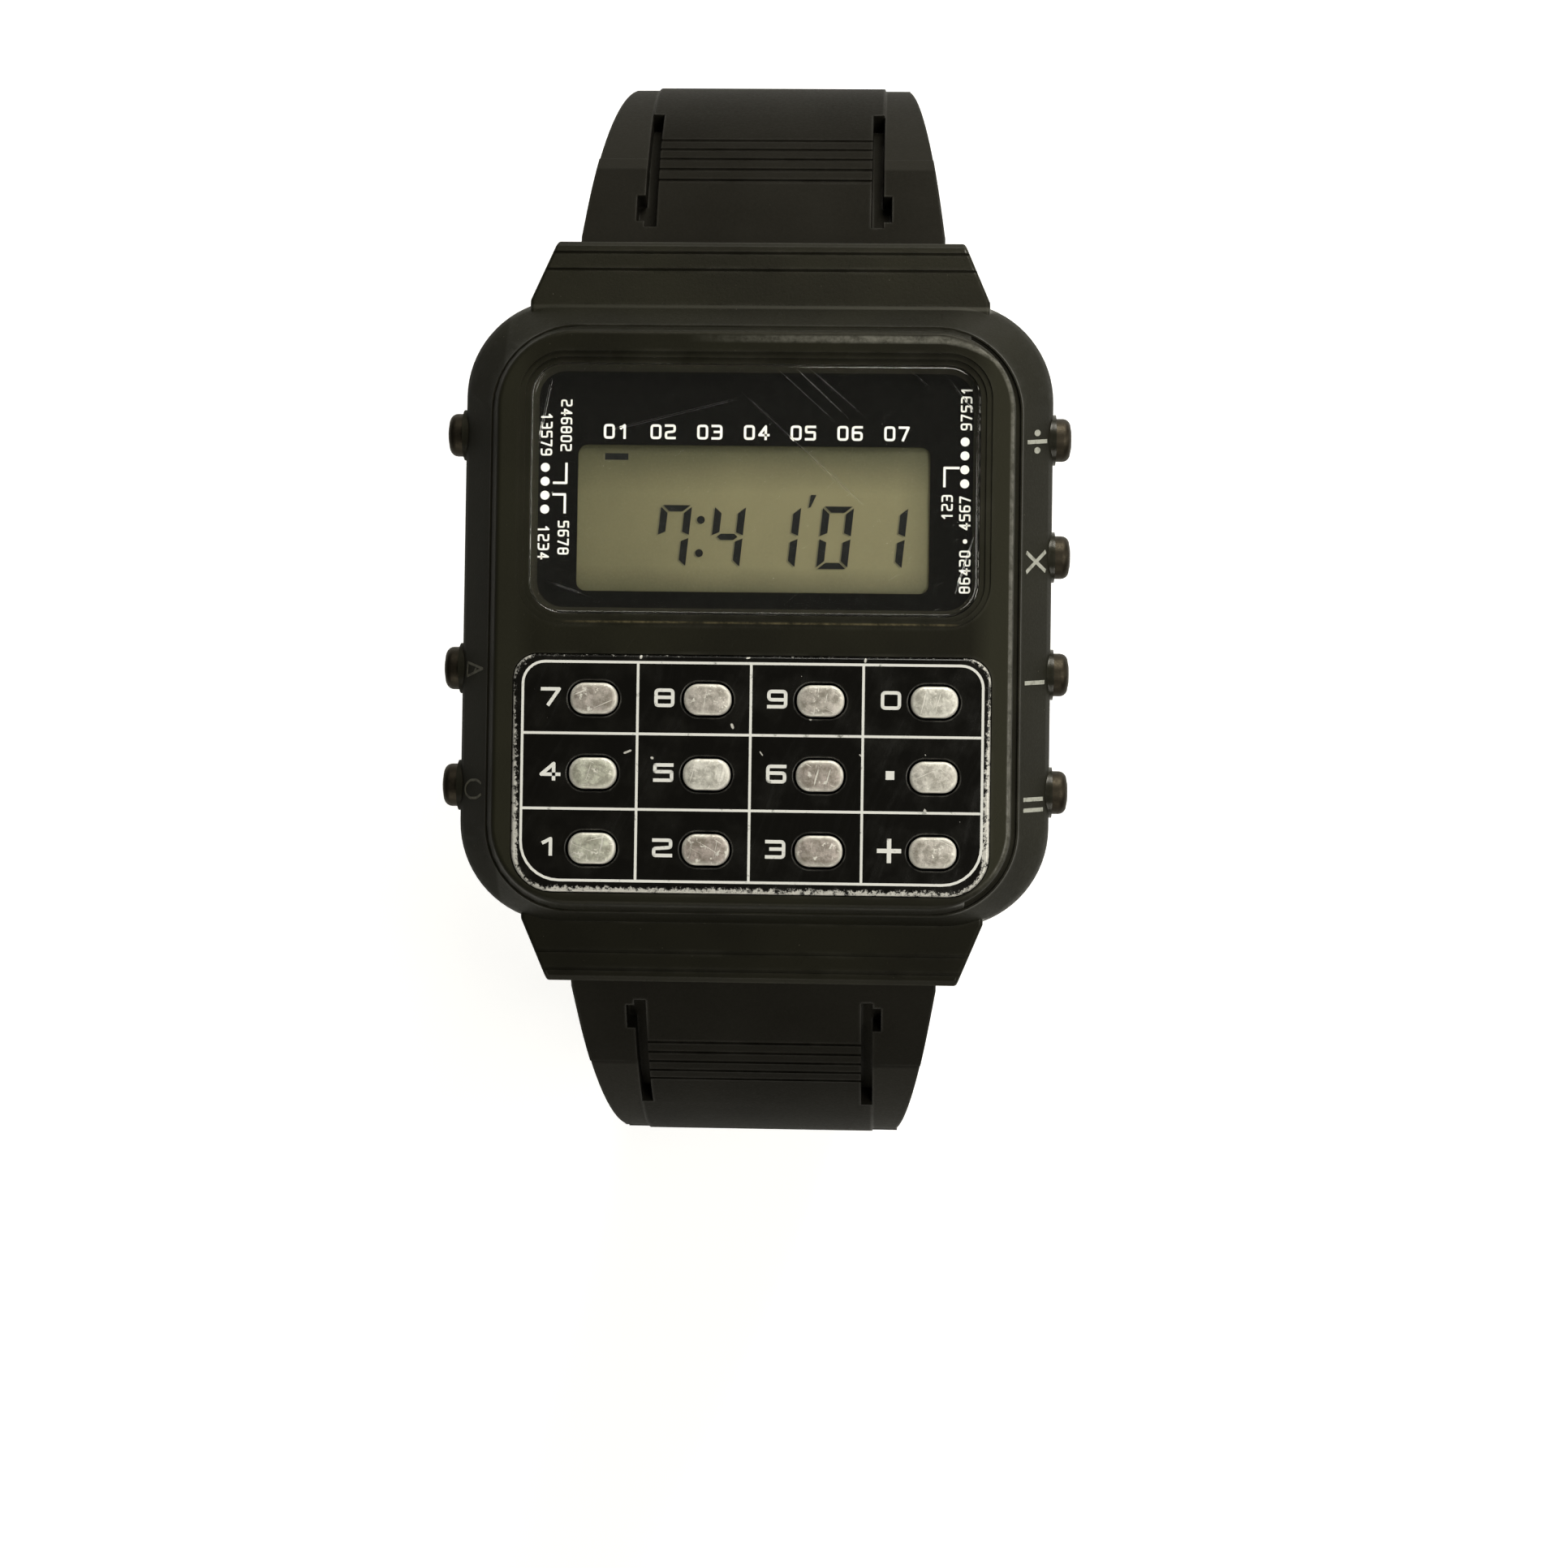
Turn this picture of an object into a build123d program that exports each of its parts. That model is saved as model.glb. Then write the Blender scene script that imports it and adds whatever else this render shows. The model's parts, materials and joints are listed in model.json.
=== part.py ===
"""A digital calculator watch on its resin strap, in millimetres.

The origin is the centre of the back cover's outer face. +Z points out of the dial,
+Y to 12 o'clock and +X to 3 o'clock. The strap is shown unbuckled, curled as if
round a wrist, so that the watch stands on the flat part of its long half.
"""

import os
from math import cos, radians, sin

from build123d import *

# Case body: widest at the waist, with sloping flanks up to the raised island
case_width = 35.0
case_length = 37.2
case_corner = 6.0
case_foot = 0.5
case_foot_inset = 0.5
case_waist = 5.0
flank_top = 7.9
flank_land = 0.15
flank_soft = 0.12
case_waist_soft = 0.6
case_waist_cut = 0.15
case_foot_soft = 0.3
island_width = 30.1
island_length = 33.4
island_drop = 0.7
island_corner = 4.6
island_top = 9.1
island_edge = 0.35
island_groove = 0.35
island_groove_depth = 0.2

# Hoods over the strap ends, with two fine grooves across each
hood_length = 3.35
hood_reach = case_length / 2 + hood_length
hood_root_half = 13.6
hood_end_half = 12.1
hood_root_top = 5.9
hood_end_top = 5.1
hood_foot = 1.1
hood_foot_draft = 1.5
hood_groove_insets = (1.75, 0.7)
hood_groove_width = 0.16
hood_groove_depth = 0.16
hood_edge = 0.3
hood_round = 0.25

# Inside of the case
bay_width = 26.0
bay_length = 31.6
bay_corner = 2.5
deck_underside = 7.6
cut_overrun = 1.0

# Display glass with its stepped bezel
glass_width = 26.0
glass_length = 14.5
glass_corner = 1.9
glass_height = 6.75
glass_low = 7.9
glass_top = 8.95
glass_chamfer = 0.2
glass_gap = 0.05
glass_ledge = 0.8
bezel_steps = 3
bezel_step_width = 0.33
bezel_step_drop = 0.13

# Printed mask under the glass and the display behind it
window_width = 20.3
window_length = 8.5
window_corner = 0.4
window_height = 4.95
mask_thickness = 0.12
mask_border = 0.4
lcd_margin = 1.15
lcd_thickness = 1.6
lcd_gap = 0.05

# Keypad plate
plate_width = 27.6
plate_length = 13.75
plate_height = -9.8
plate_corner_top = 1.4
plate_corner_bottom = 2.4
plate_low = 8.7
plate_top = 9.2
plate_chamfer = 0.18
plate_gap = 0.05
plate_ledge = 1.1

# Keys: twelve stadium buttons in three rows of four
key_columns = (-9.1, -2.52, 4.0, 10.55)
key_rows = (4.32, 0, -4.34)
key_names = (
    ("key_7", "key_8", "key_9", "key_0"),
    ("key_4", "key_5", "key_6", "key_point"),
    ("key_1", "key_2", "key_3", "key_plus"),
)
key_length = 2.8
key_width = 1.85
key_top = 9.5
key_round = 0.2
key_gap = 0.12
key_flange = 0.3
key_flange_thickness = 0.5
key_lift = 0.05
key_travel = 0.3
key_dome_gap = 0.05
mat_width = 24.0
mat_length = 11.4
mat_thickness = 1.7
mat_corner = 1.5
dome_share = 0.75

# Side buttons: four on the right, three on the left
button_names = (
    ("right_1", "left_1"),
    ("right_2", None),
    ("right_3", "left_3"),
    ("right_4", "left_4"),
)
button_spacing = 6.97
button_level = 3.9
button_radius = 1.27
button_stand = 1.05
button_reach = case_width / 2 + button_stand
button_chamfer = 0.4
button_cap_length = 1.55
button_spring_room = 1.6
button_seat = button_reach - button_cap_length - button_spring_room
button_stem_radius = 0.6
button_stem_inside = 0.7
button_stem_end = bay_width / 2 - button_stem_inside
button_travel = 0.6
button_gap = 0.06
collar_radius = 1.5
collar_stand = 0.1
collar_reach = case_width / 2 + collar_stand
collar_depth = 2.5
collar_root = case_width / 2 - collar_depth
clip_radius = 1.05
clip_thickness = 0.25
clip_gap = 0.05
clip_mouth = 0.9
spring_wire = 0.22
spring_radius = 0.95
contact_thickness = 0.15
contact_width = 1.4
contact_rise = 0.7
contact_gap = 0.05
notch_depth = 1.0
notch_width = 2.6

# Electronic module
module_width = 23.8
module_length = 31.0
module_corner = 1.8
module_low = 1.25
board_low = 5.0
board_thickness = 0.6
cell_radius = 4.75
cell_thickness = 2.7
cell_low = 1.3
cell_spread = 5.3
cell_place = -8.2
cell_gap = 0.1
cell_rim = 0.35
clamp_thickness = 0.2
clamp_width = 4.2
clamp_length = 21.0
clamp_hole = 0.5
chip_size = 6.2
chip_thickness = 0.9
chip_place = 8.6
chip_spread = 4.6
crystal_radius = 0.95
crystal_length = 6.0
crystal_place = 2.2
trimmer_radius = 1.4
trimmer_thickness = 1.1
trimmer_slot = 0.35
pocket_gap = 0.2
strip_length = 20.0
strip_width = 1.1
lamp_radius = 0.65
lamp_length = 4.0
lamp_place = 12.15

# Back cover, its gasket and screws
cover_width = 32.4
cover_length = 33.8
cover_corner = 4.6
cover_thickness = 0.9
cover_edge = 0.2
cover_gap = 0.1
gasket_inset = 0.4
gasket_width = 0.6
gasket_height = 0.6
screw_inset = 1.2
screw_row = 3.7
screw_x = cover_width / 2 - screw_inset
screw_y = cover_length / 2 - screw_row
screw_radius = 0.5
screw_length = 3.0
screw_head_radius = 0.9
screw_head_height = 0.45
screw_sink = 0.05
screw_gap = 0.06
screw_slot = 0.22
screw_slot_depth = 0.25

# Strap hinges in the hoods
hinge_inset = 2.55
hinge_y = hood_reach - hinge_inset
hinge_z = 2.6
bar_radius = 0.75
bar_tip_radius = 0.4
bar_tip_length = 0.8
bar_gap = 0.05
knuckle_radius = 1.45
pocket_clearance = 0.25

# Strap: its width, thickness and the pattern near the case
strap_root_half = 10.95
strap_half = 8.8
strap_thickness = 2.2
strap_root = 5.0
taper_start = 2.7
taper_end = 19.5
taper_lean_angle = 45.0
slot_inner = 6.5
slot_width = 0.7
slot_depth = 1.2
slot_from = 3.9
slot_to = 13.2
notch_from = 4.3
notch_extra = 0.5
notch_length = 1.7
rib_from = 7.0
rib_count = 5
rib_spacing = 0.82
rib_width = 0.2
rib_depth = 0.12
rail_step = 8.8
rail_drop = 0.15
band_width = 0.6
band_depth = 0.6
rail_margin = 2.6

# Long half of the strap, with the holes
tail_slope_angle = 35.0
tail_stand = 12.9
tail_reach = hinge_y + tail_stand
tail_drop = 25.0
tail_bend = 20.0
tail_flat = 26.2
tail_tip_round = 4.5
tail_band_at = 19.8
hole_count = 11
hole_spacing = 5.2
hole_radius = 0.95
hole_slot = 2.6
hole_from_tip = 11.0

# Short half of the strap, with the buckle
head_slope_angle = 20.0
head_stand = 16.1
head_band_at = 19.2
head_reach = hinge_y + head_stand
head_drop = 7.0
head_bend = 22.0
head_bend_turn_angle = 35.0
head_run = 9.5
head_hook = 26.0
head_hook_turn_angle = 17.5

# Buckle and keeper
buckle_bar_radius = 0.6
buckle_bar_gap = 0.05
buckle_knuckle = 1.3
buckle_inner_half = 9.15
buckle_side = 1.55
buckle_length = 11.3
buckle_thickness = 1.6
buckle_end_bar = 2.0
buckle_corner = 2.0
buckle_eye = 1.15
buckle_edge = 0.3
tongue_width = 1.7
tongue_thickness = 0.8
tongue_eye = 1.05
tongue_gap = 0.12
tongue_rest_gap = 0.05
tongue_overhang = 0.3
keeper_width = 5.0
keeper_wall = 1.1
keeper_gap = 0.2
keeper_room = 2.5
keeper_round = 0.8
keeper_share = 0.5


def plate(width, length, corner, low, high, height=0):
    """A rounded plate from low to high, its centre moved up the dial by height."""
    return Pos(0, height, low) * extrude(RectangleRounded(width, length, corner), high - low)


def taper(size_low, low, size_high, high, height_low=0, height_high=0):
    """A body that runs from one rounded rectangle to another, sizes given as width, length, corner."""
    return loft(
        [
            Pos(0, height_low, low) * RectangleRounded(*size_low),
            Pos(0, height_high, high) * RectangleRounded(*size_high),
        ]
    )


def stadium(length, width, low, high):
    """An upright block with round ends, its long way along X."""
    return Pos(0, 0, low) * extrude(SlotOverall(length, width), high - low)


def rod(radius, start, end, y=0, z=0):
    """A round bar along X."""
    return Pos((start + end) / 2, y, z) * Rot(0, 90, 0) * Cylinder(radius, abs(end - start))


def block(x0, x1, y0, y1, z0, z1):
    """A block between its limits."""
    place = Pos((x0 + x1) / 2, (y0 + y1) / 2, (z0 + z1) / 2)
    return place * Box(abs(x1 - x0), abs(y1 - y0), abs(z1 - z0))


def profile(points, half_width):
    """A Y-Z outline drawn out to half_width each side of the middle."""
    face = make_face(Polyline(*[(-half_width, y, z) for y, z in points], close=True))
    return extrude(face, 2 * half_width, dir=(1, 0, 0))


def button_places():
    """Name, side and place of each side button, numbered from the top."""
    middle = (len(button_names) - 1) / 2
    for row, names in enumerate(button_names):
        for name, side in zip(names, (1, -1)):
            if name:
                yield name, side, (middle - row) * button_spacing


def key_places():
    """Name and place of each key."""
    for names, row in zip(key_names, key_rows):
        for name, column in zip(names, key_columns):
            yield name, column, plate_height + row


# A strap's line: runs of (length, turn), each straight or an arc that curls inwards
class StrapLine:
    """The middle line of one strap half, in the plane of the wrist, from its hinge."""

    def __init__(self, slope, reach, runs):
        """The root leaves the hinge at a slope and bends down to stand out as far as reach."""
        self.runs = []
        at, y, z, heading = 0, hinge_y, hinge_z, -slope
        short = reach - half_thick - hinge_y - strap_root * cos(radians(slope))
        bend = short / (1 - sin(radians(slope)))
        quarter = 90 - slope
        self.root_length = strap_root + bend * radians(quarter)
        for length, turn in [(strap_root, 0), (self.root_length - strap_root, quarter)] + runs:
            self.runs.append((at, at + length, y, z, heading, turn))
            at, (y, z), heading = at + length, self.place(at + length), heading - turn
        self.length = at

    def run_at(self, s):
        for run in self.runs:
            if s <= run[1]:
                return run
        return self.runs[-1]

    def heading(self, s):
        start, end, _, _, heading, turn = self.run_at(s)
        return heading - turn * (s - start) / (end - start)

    def place(self, s, out=0):
        """The point at distance s along the line, moved outwards by out."""
        start, end, y, z, heading, turn = self.run_at(s)
        now = radians(heading - turn * (s - start) / (end - start))
        first = radians(heading)
        if turn:
            bend = (end - start) / radians(turn)
            y += bend * (sin(first) - sin(now))
            z += bend * (cos(now) - cos(first))
        else:
            y, z = y + (s - start) * cos(first), z + (s - start) * sin(first)
        return y - out * sin(now), z + out * cos(now)

    def edge(self, start, end, out, x, side):
        """The strap's edges from start to end at one depth."""
        stops = [start] + [r[1] for r in self.runs if min(start, end) < r[1] < max(start, end)] + [end]
        stops.sort(reverse=start > end)
        for a, b in zip(stops, stops[1:]):
            points = []
            for s in (a, (a + b) / 2, b):
                y, z = self.place(s, out)
                points.append(Vector(x, side * y, z))
            curved = self.run_at((a + b) / 2)[5]
            yield Edge.make_three_point_arc(*points) if curved else Edge.make_line(points[0], points[2])

    def band(self, start, end, low, high, left, right, side):
        """The solid between two depths, two distances and two sides."""
        edges = list(self.edge(start, end, high, left, side))
        edges += list(self.edge(end, start, low, left, side))
        half = len(edges) // 2
        far_cap = Edge.make_line(edges[half - 1] @ 1, edges[half] @ 0)
        near_cap = Edge.make_line(edges[-1] @ 1, edges[0] @ 0)
        face = Face(Wire(edges[:half] + [far_cap] + edges[half:] + [near_cap]))
        return extrude(face, right - left, dir=(1, 0, 0))


half_thick = strap_thickness / 2
tail_line = StrapLine(
    tail_slope_angle, tail_reach, [(tail_drop, 0), (tail_bend * radians(90), 90), (tail_flat, 0)]
)
head_line = StrapLine(
    head_slope_angle,
    head_reach,
    [
        (head_drop, 0),
        (head_bend * radians(head_bend_turn_angle), head_bend_turn_angle),
        (head_run, 0),
        (head_hook * radians(head_hook_turn_angle), head_hook_turn_angle),
    ],
)


def case_outline(inset):
    """Width, length and corner of the case at its waist, drawn in by inset."""
    return case_width - 2 * inset, case_length - 2 * inset, case_corner - inset


def case_block():
    """Body up to the flank's top, with its foot, waist and upper edge softened."""
    lean = case_foot_inset / (case_waist - case_foot)
    levels = (
        (case_foot, case_foot_inset + case_foot_soft),
        (case_foot + case_foot_soft, case_foot_inset - lean * case_foot_soft),
        (case_waist - case_waist_soft, lean * case_waist_soft),
        (case_waist, case_waist_cut),
    )
    body = Part()
    for (low, inset_low), (high, inset_high) in zip(levels, levels[1:]):
        body += taper(case_outline(inset_low), low, case_outline(inset_high), high)
    rise = island_groove + flank_land
    waist = case_outline(0)
    crest = (island_width + 2 * rise, island_length + 2 * rise, island_corner + rise)
    climb = case_waist_soft / (flank_top - case_waist)
    soft = [below + climb * (above - below) for below, above in zip(waist, crest)]
    shift = -island_drop * climb
    body += taper(case_outline(case_waist_cut), case_waist, soft, case_waist + case_waist_soft, 0, shift)
    edge = flank_top - flank_soft
    rim = (crest[0] - flank_soft, crest[1] - flank_soft, crest[2] - flank_soft / 2)
    body += taper(soft, case_waist + case_waist_soft, crest, edge, shift, -island_drop)
    return body + taper(crest, edge, rim, flank_top, -island_drop, -island_drop)


def case_shell():
    """Body, island and hoods, hollow for the module and open at the back."""
    body = case_block()
    groove_width = island_width + 2 * island_groove
    groove_length = island_length + 2 * island_groove
    groove_corner = island_corner + island_groove
    groove_low = flank_top - island_groove_depth
    body -= plate(groove_width, groove_length, groove_corner, groove_low, island_top, -island_drop)
    island = plate(island_width, island_length, island_corner, groove_low, island_top, -island_drop)
    rim = island.edges().group_by(Axis.Z)[-1]
    body += fillet(rim, island_edge)
    for side in (1, -1):
        body += hood(side)
    for _, side, y in button_places():
        body += rod(collar_radius, side * collar_root, side * collar_reach, y, button_level)
    bay = plate(bay_width, bay_length, bay_corner, case_foot - cut_overrun, deck_underside)
    body -= bay
    body -= plate(
        cover_width + 2 * cover_gap,
        cover_length + 2 * cover_gap,
        cover_corner + cover_gap,
        case_foot - cut_overrun,
        cover_thickness,
    )
    body -= gasket_ring()
    for x in (screw_x, -screw_x):
        for y in (screw_y, -screw_y):
            depth = screw_length + screw_sink + screw_gap
            body -= Pos(x, y, depth / 2) * Cylinder(screw_radius + screw_gap, depth)
    body = cut_face(body)
    for side in (1, -1):
        body = cut_hinge(body, side)
    for _, side, y in button_places():
        bore = button_radius + button_gap
        body -= rod(bore, side * button_seat, side * (collar_reach + cut_overrun), y, button_level)
        hole = button_stem_radius + button_gap
        body -= rod(hole, side * (bay_width / 2 - cut_overrun), side * button_seat, y, button_level)
    return body


def hood(side):
    """One stepped hood, narrower towards its end."""
    inner = case_length / 2 - hood_foot_draft
    deep = inner - hood_foot_draft
    outline = [
        (side * deep, case_foot),
        (side * (hood_reach - hood_foot_draft), case_foot),
        (side * hood_reach, case_foot + hood_foot),
        (side * hood_reach, hood_end_top - hood_edge),
        (side * (hood_reach - hood_edge), hood_end_top),
        (side * inner, hood_root_top),
        (side * deep, hood_root_top),
    ]
    root, end = hood_root_half, hood_end_half
    plan = make_face(
        Polyline(
            (-root, side * deep),
            (root, side * deep),
            (root, side * (case_length / 2 - hood_edge)),
            (end, side * hood_reach),
            (-end, side * hood_reach),
            (-root, side * (case_length / 2 - hood_edge)),
            close=True,
        )
    )
    body = profile(outline, hood_root_half) & extrude(plan, hood_root_top + cut_overrun)
    sides = body.faces().filter_by(lambda face: abs(face.normal_at().X) > abs(face.normal_at().Y))
    rims = [edge for face in sides for edge in face.edges()]
    rims = [edge for edge in rims if edge.center().Z > case_foot + hood_foot]
    body = fillet([edge for edge in rims if side * edge.center().Y > inner], hood_round)
    fall = (hood_root_top - hood_end_top) / (hood_reach - hood_edge - inner)
    for inset in hood_groove_insets:
        place = hood_reach - inset
        top = hood_root_top - fall * (place - inner)
        body -= block(
            -hood_root_half,
            hood_root_half,
            side * (place - hood_groove_width / 2),
            side * (place + hood_groove_width / 2),
            top - hood_groove_depth,
            top + cut_overrun,
        )
    return body


def cut_face(body):
    """Bezel steps, glass seat, display window and keypad seat."""
    for step in range(bezel_steps):
        grow = 2 * (glass_gap + bezel_step_width * (bezel_steps - 1 - step))
        floor = island_top - bezel_step_drop * (step + 1)
        body -= plate(
            glass_width + grow,
            glass_length + grow,
            glass_corner + grow / 2,
            floor,
            island_top + cut_overrun,
            glass_height,
        )
    seat = 2 * glass_gap
    body -= plate(
        glass_width + seat, glass_length + seat, glass_corner + glass_gap, glass_low, island_top, glass_height
    )
    body -= plate(
        glass_width - 2 * glass_ledge,
        glass_length - 2 * glass_ledge,
        glass_corner - glass_ledge,
        deck_underside - cut_overrun,
        island_top,
        glass_height,
    )
    body -= Pos(0, plate_height, plate_low) * extrude(
        plate_outline(plate_gap), island_top + cut_overrun - plate_low
    )
    body -= Pos(0, plate_height, deck_underside - cut_overrun) * extrude(
        plate_outline(-plate_ledge), plate_low + cut_overrun - deck_underside
    )
    return body


def cut_hinge(body, side):
    """Pocket and spring bar holes for one strap half."""
    inner = hinge_y - knuckle_radius - pocket_clearance
    roof = hinge_z + knuckle_radius + pocket_clearance
    half = strap_root_half + pocket_clearance
    body -= block(-half, half, side * inner, side * (hood_reach + cut_overrun), case_foot - cut_overrun, roof)
    reach = strap_root_half + bar_tip_length + bar_gap
    body -= rod(bar_tip_radius + bar_gap, -reach, reach, side * hinge_y, hinge_z)
    return body


def plate_outline(grow):
    """The keypad plate's outline, with larger corners at its foot, grown or shrunk all round."""
    half_x, half_y = plate_width / 2 + grow, plate_length / 2 + grow
    top, low = plate_corner_top + grow, plate_corner_bottom + grow
    sketch = Rectangle(2 * half_x, 2 * half_y)
    corners = sketch.vertices().group_by(Axis.Y)
    sketch = fillet(corners[-1], top)
    corners = sketch.vertices().group_by(Axis.Y)
    return fillet(corners[0], low)


def display_glass():
    """Mineral glass with a bevelled rim."""
    body = plate(glass_width, glass_length, glass_corner, glass_low, glass_top, glass_height)
    return chamfer(body.edges().group_by(Axis.Z)[-1], glass_chamfer)


def dial_mask():
    """Printed sheet under the glass, with the display window."""
    low = glass_low - mask_thickness
    sheet = plate(
        glass_width - 2 * (glass_ledge + mask_border),
        glass_length - 2 * (glass_ledge + mask_border),
        glass_corner - glass_ledge - mask_border / 2,
        low,
        glass_low,
        glass_height,
    )
    hole = plate(
        window_width, window_length, window_corner, low - cut_overrun, glass_low + cut_overrun, window_height
    )
    return sheet - hole


def lcd_levels():
    """Lower and upper face of the display."""
    top = glass_low - mask_thickness - lcd_gap
    return top - lcd_thickness, top


def lcd_panel():
    """Two glass sheets, the front one shorter so that the contacts show."""
    low, top = lcd_levels()
    middle = (low + top) / 2
    width, length = window_width + 2 * lcd_margin, window_length + 2 * lcd_margin
    body = block(-width / 2, width / 2, *around(window_height, length), low, middle)
    front = length - 2 * strip_width
    return body + block(-width / 2, width / 2, *around(window_height, front), middle, top)


def around(centre, length):
    """The two ends of a stretch about its centre."""
    return centre - length / 2, centre + length / 2


def connector_strips():
    """Rubber strips that carry the display's contacts down to the board."""
    low, _ = lcd_levels()
    board_top = board_low + board_thickness
    spread = (window_length + 2 * lcd_margin - strip_width) / 2
    strips = Part()
    for side in (1, -1):
        y = window_height + side * spread
        strips += block(-strip_length / 2, strip_length / 2, *around(y, strip_width), board_top, low)
    return strips


def keypad_plate():
    """Printed metal plate with a hole for each key."""
    body = Pos(0, plate_height, plate_low) * extrude(plate_outline(0), plate_top - plate_low)
    body = chamfer(body.edges().group_by(Axis.Z)[-1], plate_chamfer)
    hole_low = plate_low - cut_overrun
    hole_high = plate_top + cut_overrun
    for _, x, y in key_places():
        hole = stadium(key_length + 2 * key_gap, key_width + 2 * key_gap, hole_low, hole_high)
        body -= Pos(x, y, 0) * hole
    return body


def key():
    """One key: a domed cap on a flange that the plate holds down."""
    flange_top = plate_low - key_lift
    flange_low = flange_top - key_flange_thickness
    cap = stadium(key_length, key_width, flange_low, key_top)
    cap = fillet(cap.edges().group_by(Axis.Z)[-1], key_round)
    return cap + stadium(key_length + 2 * key_flange, key_width + 2 * key_flange, flange_low, flange_top)


def key_mat():
    """Rubber mat on the board, with a dome under each key."""
    board_top = board_low + board_thickness
    dome_top = plate_low - key_lift - key_flange_thickness - key_travel - key_dome_gap
    mat_place = plate_height + (plate_length / 2 - plate_ledge) - mat_length / 2
    mat_top = board_top + mat_thickness
    body = plate(mat_width, mat_length, mat_corner, board_top, mat_top, mat_place)
    for _, x, y in key_places():
        body += Pos(x, y, 0) * stadium(key_length * dome_share, key_width * dome_share, mat_top, dome_top)
    return body


def push_button(side, y):
    """Cap and stem of one side button."""
    cap = rod(button_radius, side * button_reach, side * (button_reach - button_cap_length), y, button_level)
    outer = cap.edges().sort_by(Axis.X)[-1 if side > 0 else 0]
    cap = chamfer(outer, button_chamfer)
    stem = rod(
        button_stem_radius,
        side * button_stem_end,
        side * (button_reach - button_cap_length / 2),
        y,
        button_level,
    )
    groove = rod(clip_radius, side * clip_outer(), side * (clip_outer() - clip_thickness), y, button_level)
    groove -= rod(neck_radius(), side * button_stem_end, side * button_reach, y, button_level)
    return cap + (stem - groove)


def neck_radius():
    """The stem is turned down a little where its clip snaps on."""
    return button_stem_radius - 2 * button_gap


def clip_outer():
    """The face of the clip nearest the case wall."""
    return bay_width / 2 - clip_gap


def button_clip(side, y):
    """Split ring that keeps the button in its bore."""
    start, end = side * clip_outer(), side * (clip_outer() - clip_thickness)
    ring = rod(clip_radius, start, end, y, button_level)
    ring -= rod(neck_radius(), side * button_stem_end, side * button_reach, y, button_level)
    mouth = block(start, end, *around(y, clip_mouth), button_level, button_level + 2 * clip_radius)
    return ring - mouth


def button_spring(side, y):
    """Return spring between the bore's floor and the cap, as a sleeve."""
    start, end = side * button_seat, side * (button_reach - button_cap_length)
    sleeve = rod(spring_radius + spring_wire / 2, start, end, y, button_level)
    return sleeve - rod(spring_radius - spring_wire / 2, start, end, y, button_level)


def module_notches(low, high):
    """Room for the stems at the module's edges."""
    notches = Part()
    for _, side, y in button_places():
        edge = side * module_width / 2
        notches += block(
            edge + side * cut_overrun, edge - side * notch_depth, *around(y, notch_width), low, high
        )
    return notches


def contact_springs():
    """A sheet contact facing each stem."""
    springs = Part()
    for _, side, y in button_places():
        wall = side * (module_width / 2 - notch_depth)
        face = side * (button_stem_end - button_travel - contact_gap)
        back = face - side * contact_thickness
        springs += block(
            back, face, *around(y, contact_width), button_level - contact_rise, button_level + contact_rise
        )
        springs += block(
            wall,
            face,
            *around(y, contact_width),
            button_level - contact_rise,
            button_level - contact_rise + contact_thickness,
        )
    return springs


def module_frame():
    """Moulded frame with pockets for the cells and the parts under the board."""
    body = plate(module_width, module_length, module_corner, module_low, board_low)
    body -= module_notches(module_low - cut_overrun, board_low + cut_overrun)
    pocket = cell_low + cell_thickness + cell_gap
    chip = chip_size + 2 * pocket_gap
    depth = board_low - chip_thickness - pocket_gap
    for side in (1, -1):
        body -= Pos(side * cell_spread, cell_place, pocket / 2) * Cylinder(cell_radius + cell_gap, pocket)
        body -= block(
            *around(side * chip_spread, chip), *around(chip_place, chip), depth, board_low + cut_overrun
        )
    long = crystal_length + 2 * pocket_gap
    wide = 2 * (crystal_radius + pocket_gap)
    body -= block(
        *around(-chip_spread, long), *around(crystal_place, wide), board_low - wide, board_low + cut_overrun
    )
    round_pocket = trimmer_thickness + pocket_gap
    body -= Pos(chip_spread, crystal_place, board_low - round_pocket / 2) * Cylinder(
        trimmer_radius + pocket_gap, round_pocket
    )
    half = clamp_length / 2 + pocket_gap
    body -= block(
        -half,
        half,
        *around(cell_place, clamp_width + 2 * pocket_gap),
        module_low - cut_overrun,
        cell_low,
    )
    return body


def circuit_board():
    """Printed board, notched like the frame."""
    top = board_low + board_thickness
    body = plate(module_width, module_length, module_corner, board_low, top)
    return body - module_notches(board_low - cut_overrun, top + cut_overrun)


def chips():
    """The display driver and the calculator chip, under the board."""
    low = board_low - chip_thickness
    pair = Part()
    for x in (chip_spread, -chip_spread):
        pair += block(*around(x, chip_size), *around(chip_place, chip_size), low, board_low)
    return pair


def quartz_crystal():
    """Timing crystal in its can."""
    start, end = around(-chip_spread, crystal_length)
    return rod(crystal_radius, start, end, crystal_place, board_low - crystal_radius - pocket_gap)


def trimmer_capacitor():
    """Frequency trimmer with its screwdriver slot."""
    low = board_low - trimmer_thickness
    body = Pos(chip_spread, crystal_place, low + trimmer_thickness / 2) * Cylinder(
        trimmer_radius, trimmer_thickness
    )
    slot = block(
        *around(chip_spread, 2 * trimmer_radius),
        *around(crystal_place, trimmer_slot),
        low - cut_overrun,
        low + trimmer_slot,
    )
    return body - slot


def lamp():
    """Night lamp beside the display."""
    level = board_low + board_thickness + lamp_radius
    return Pos(-lamp_place, window_height, level) * Rot(90, 0, 0) * Cylinder(lamp_radius, lamp_length)


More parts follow.
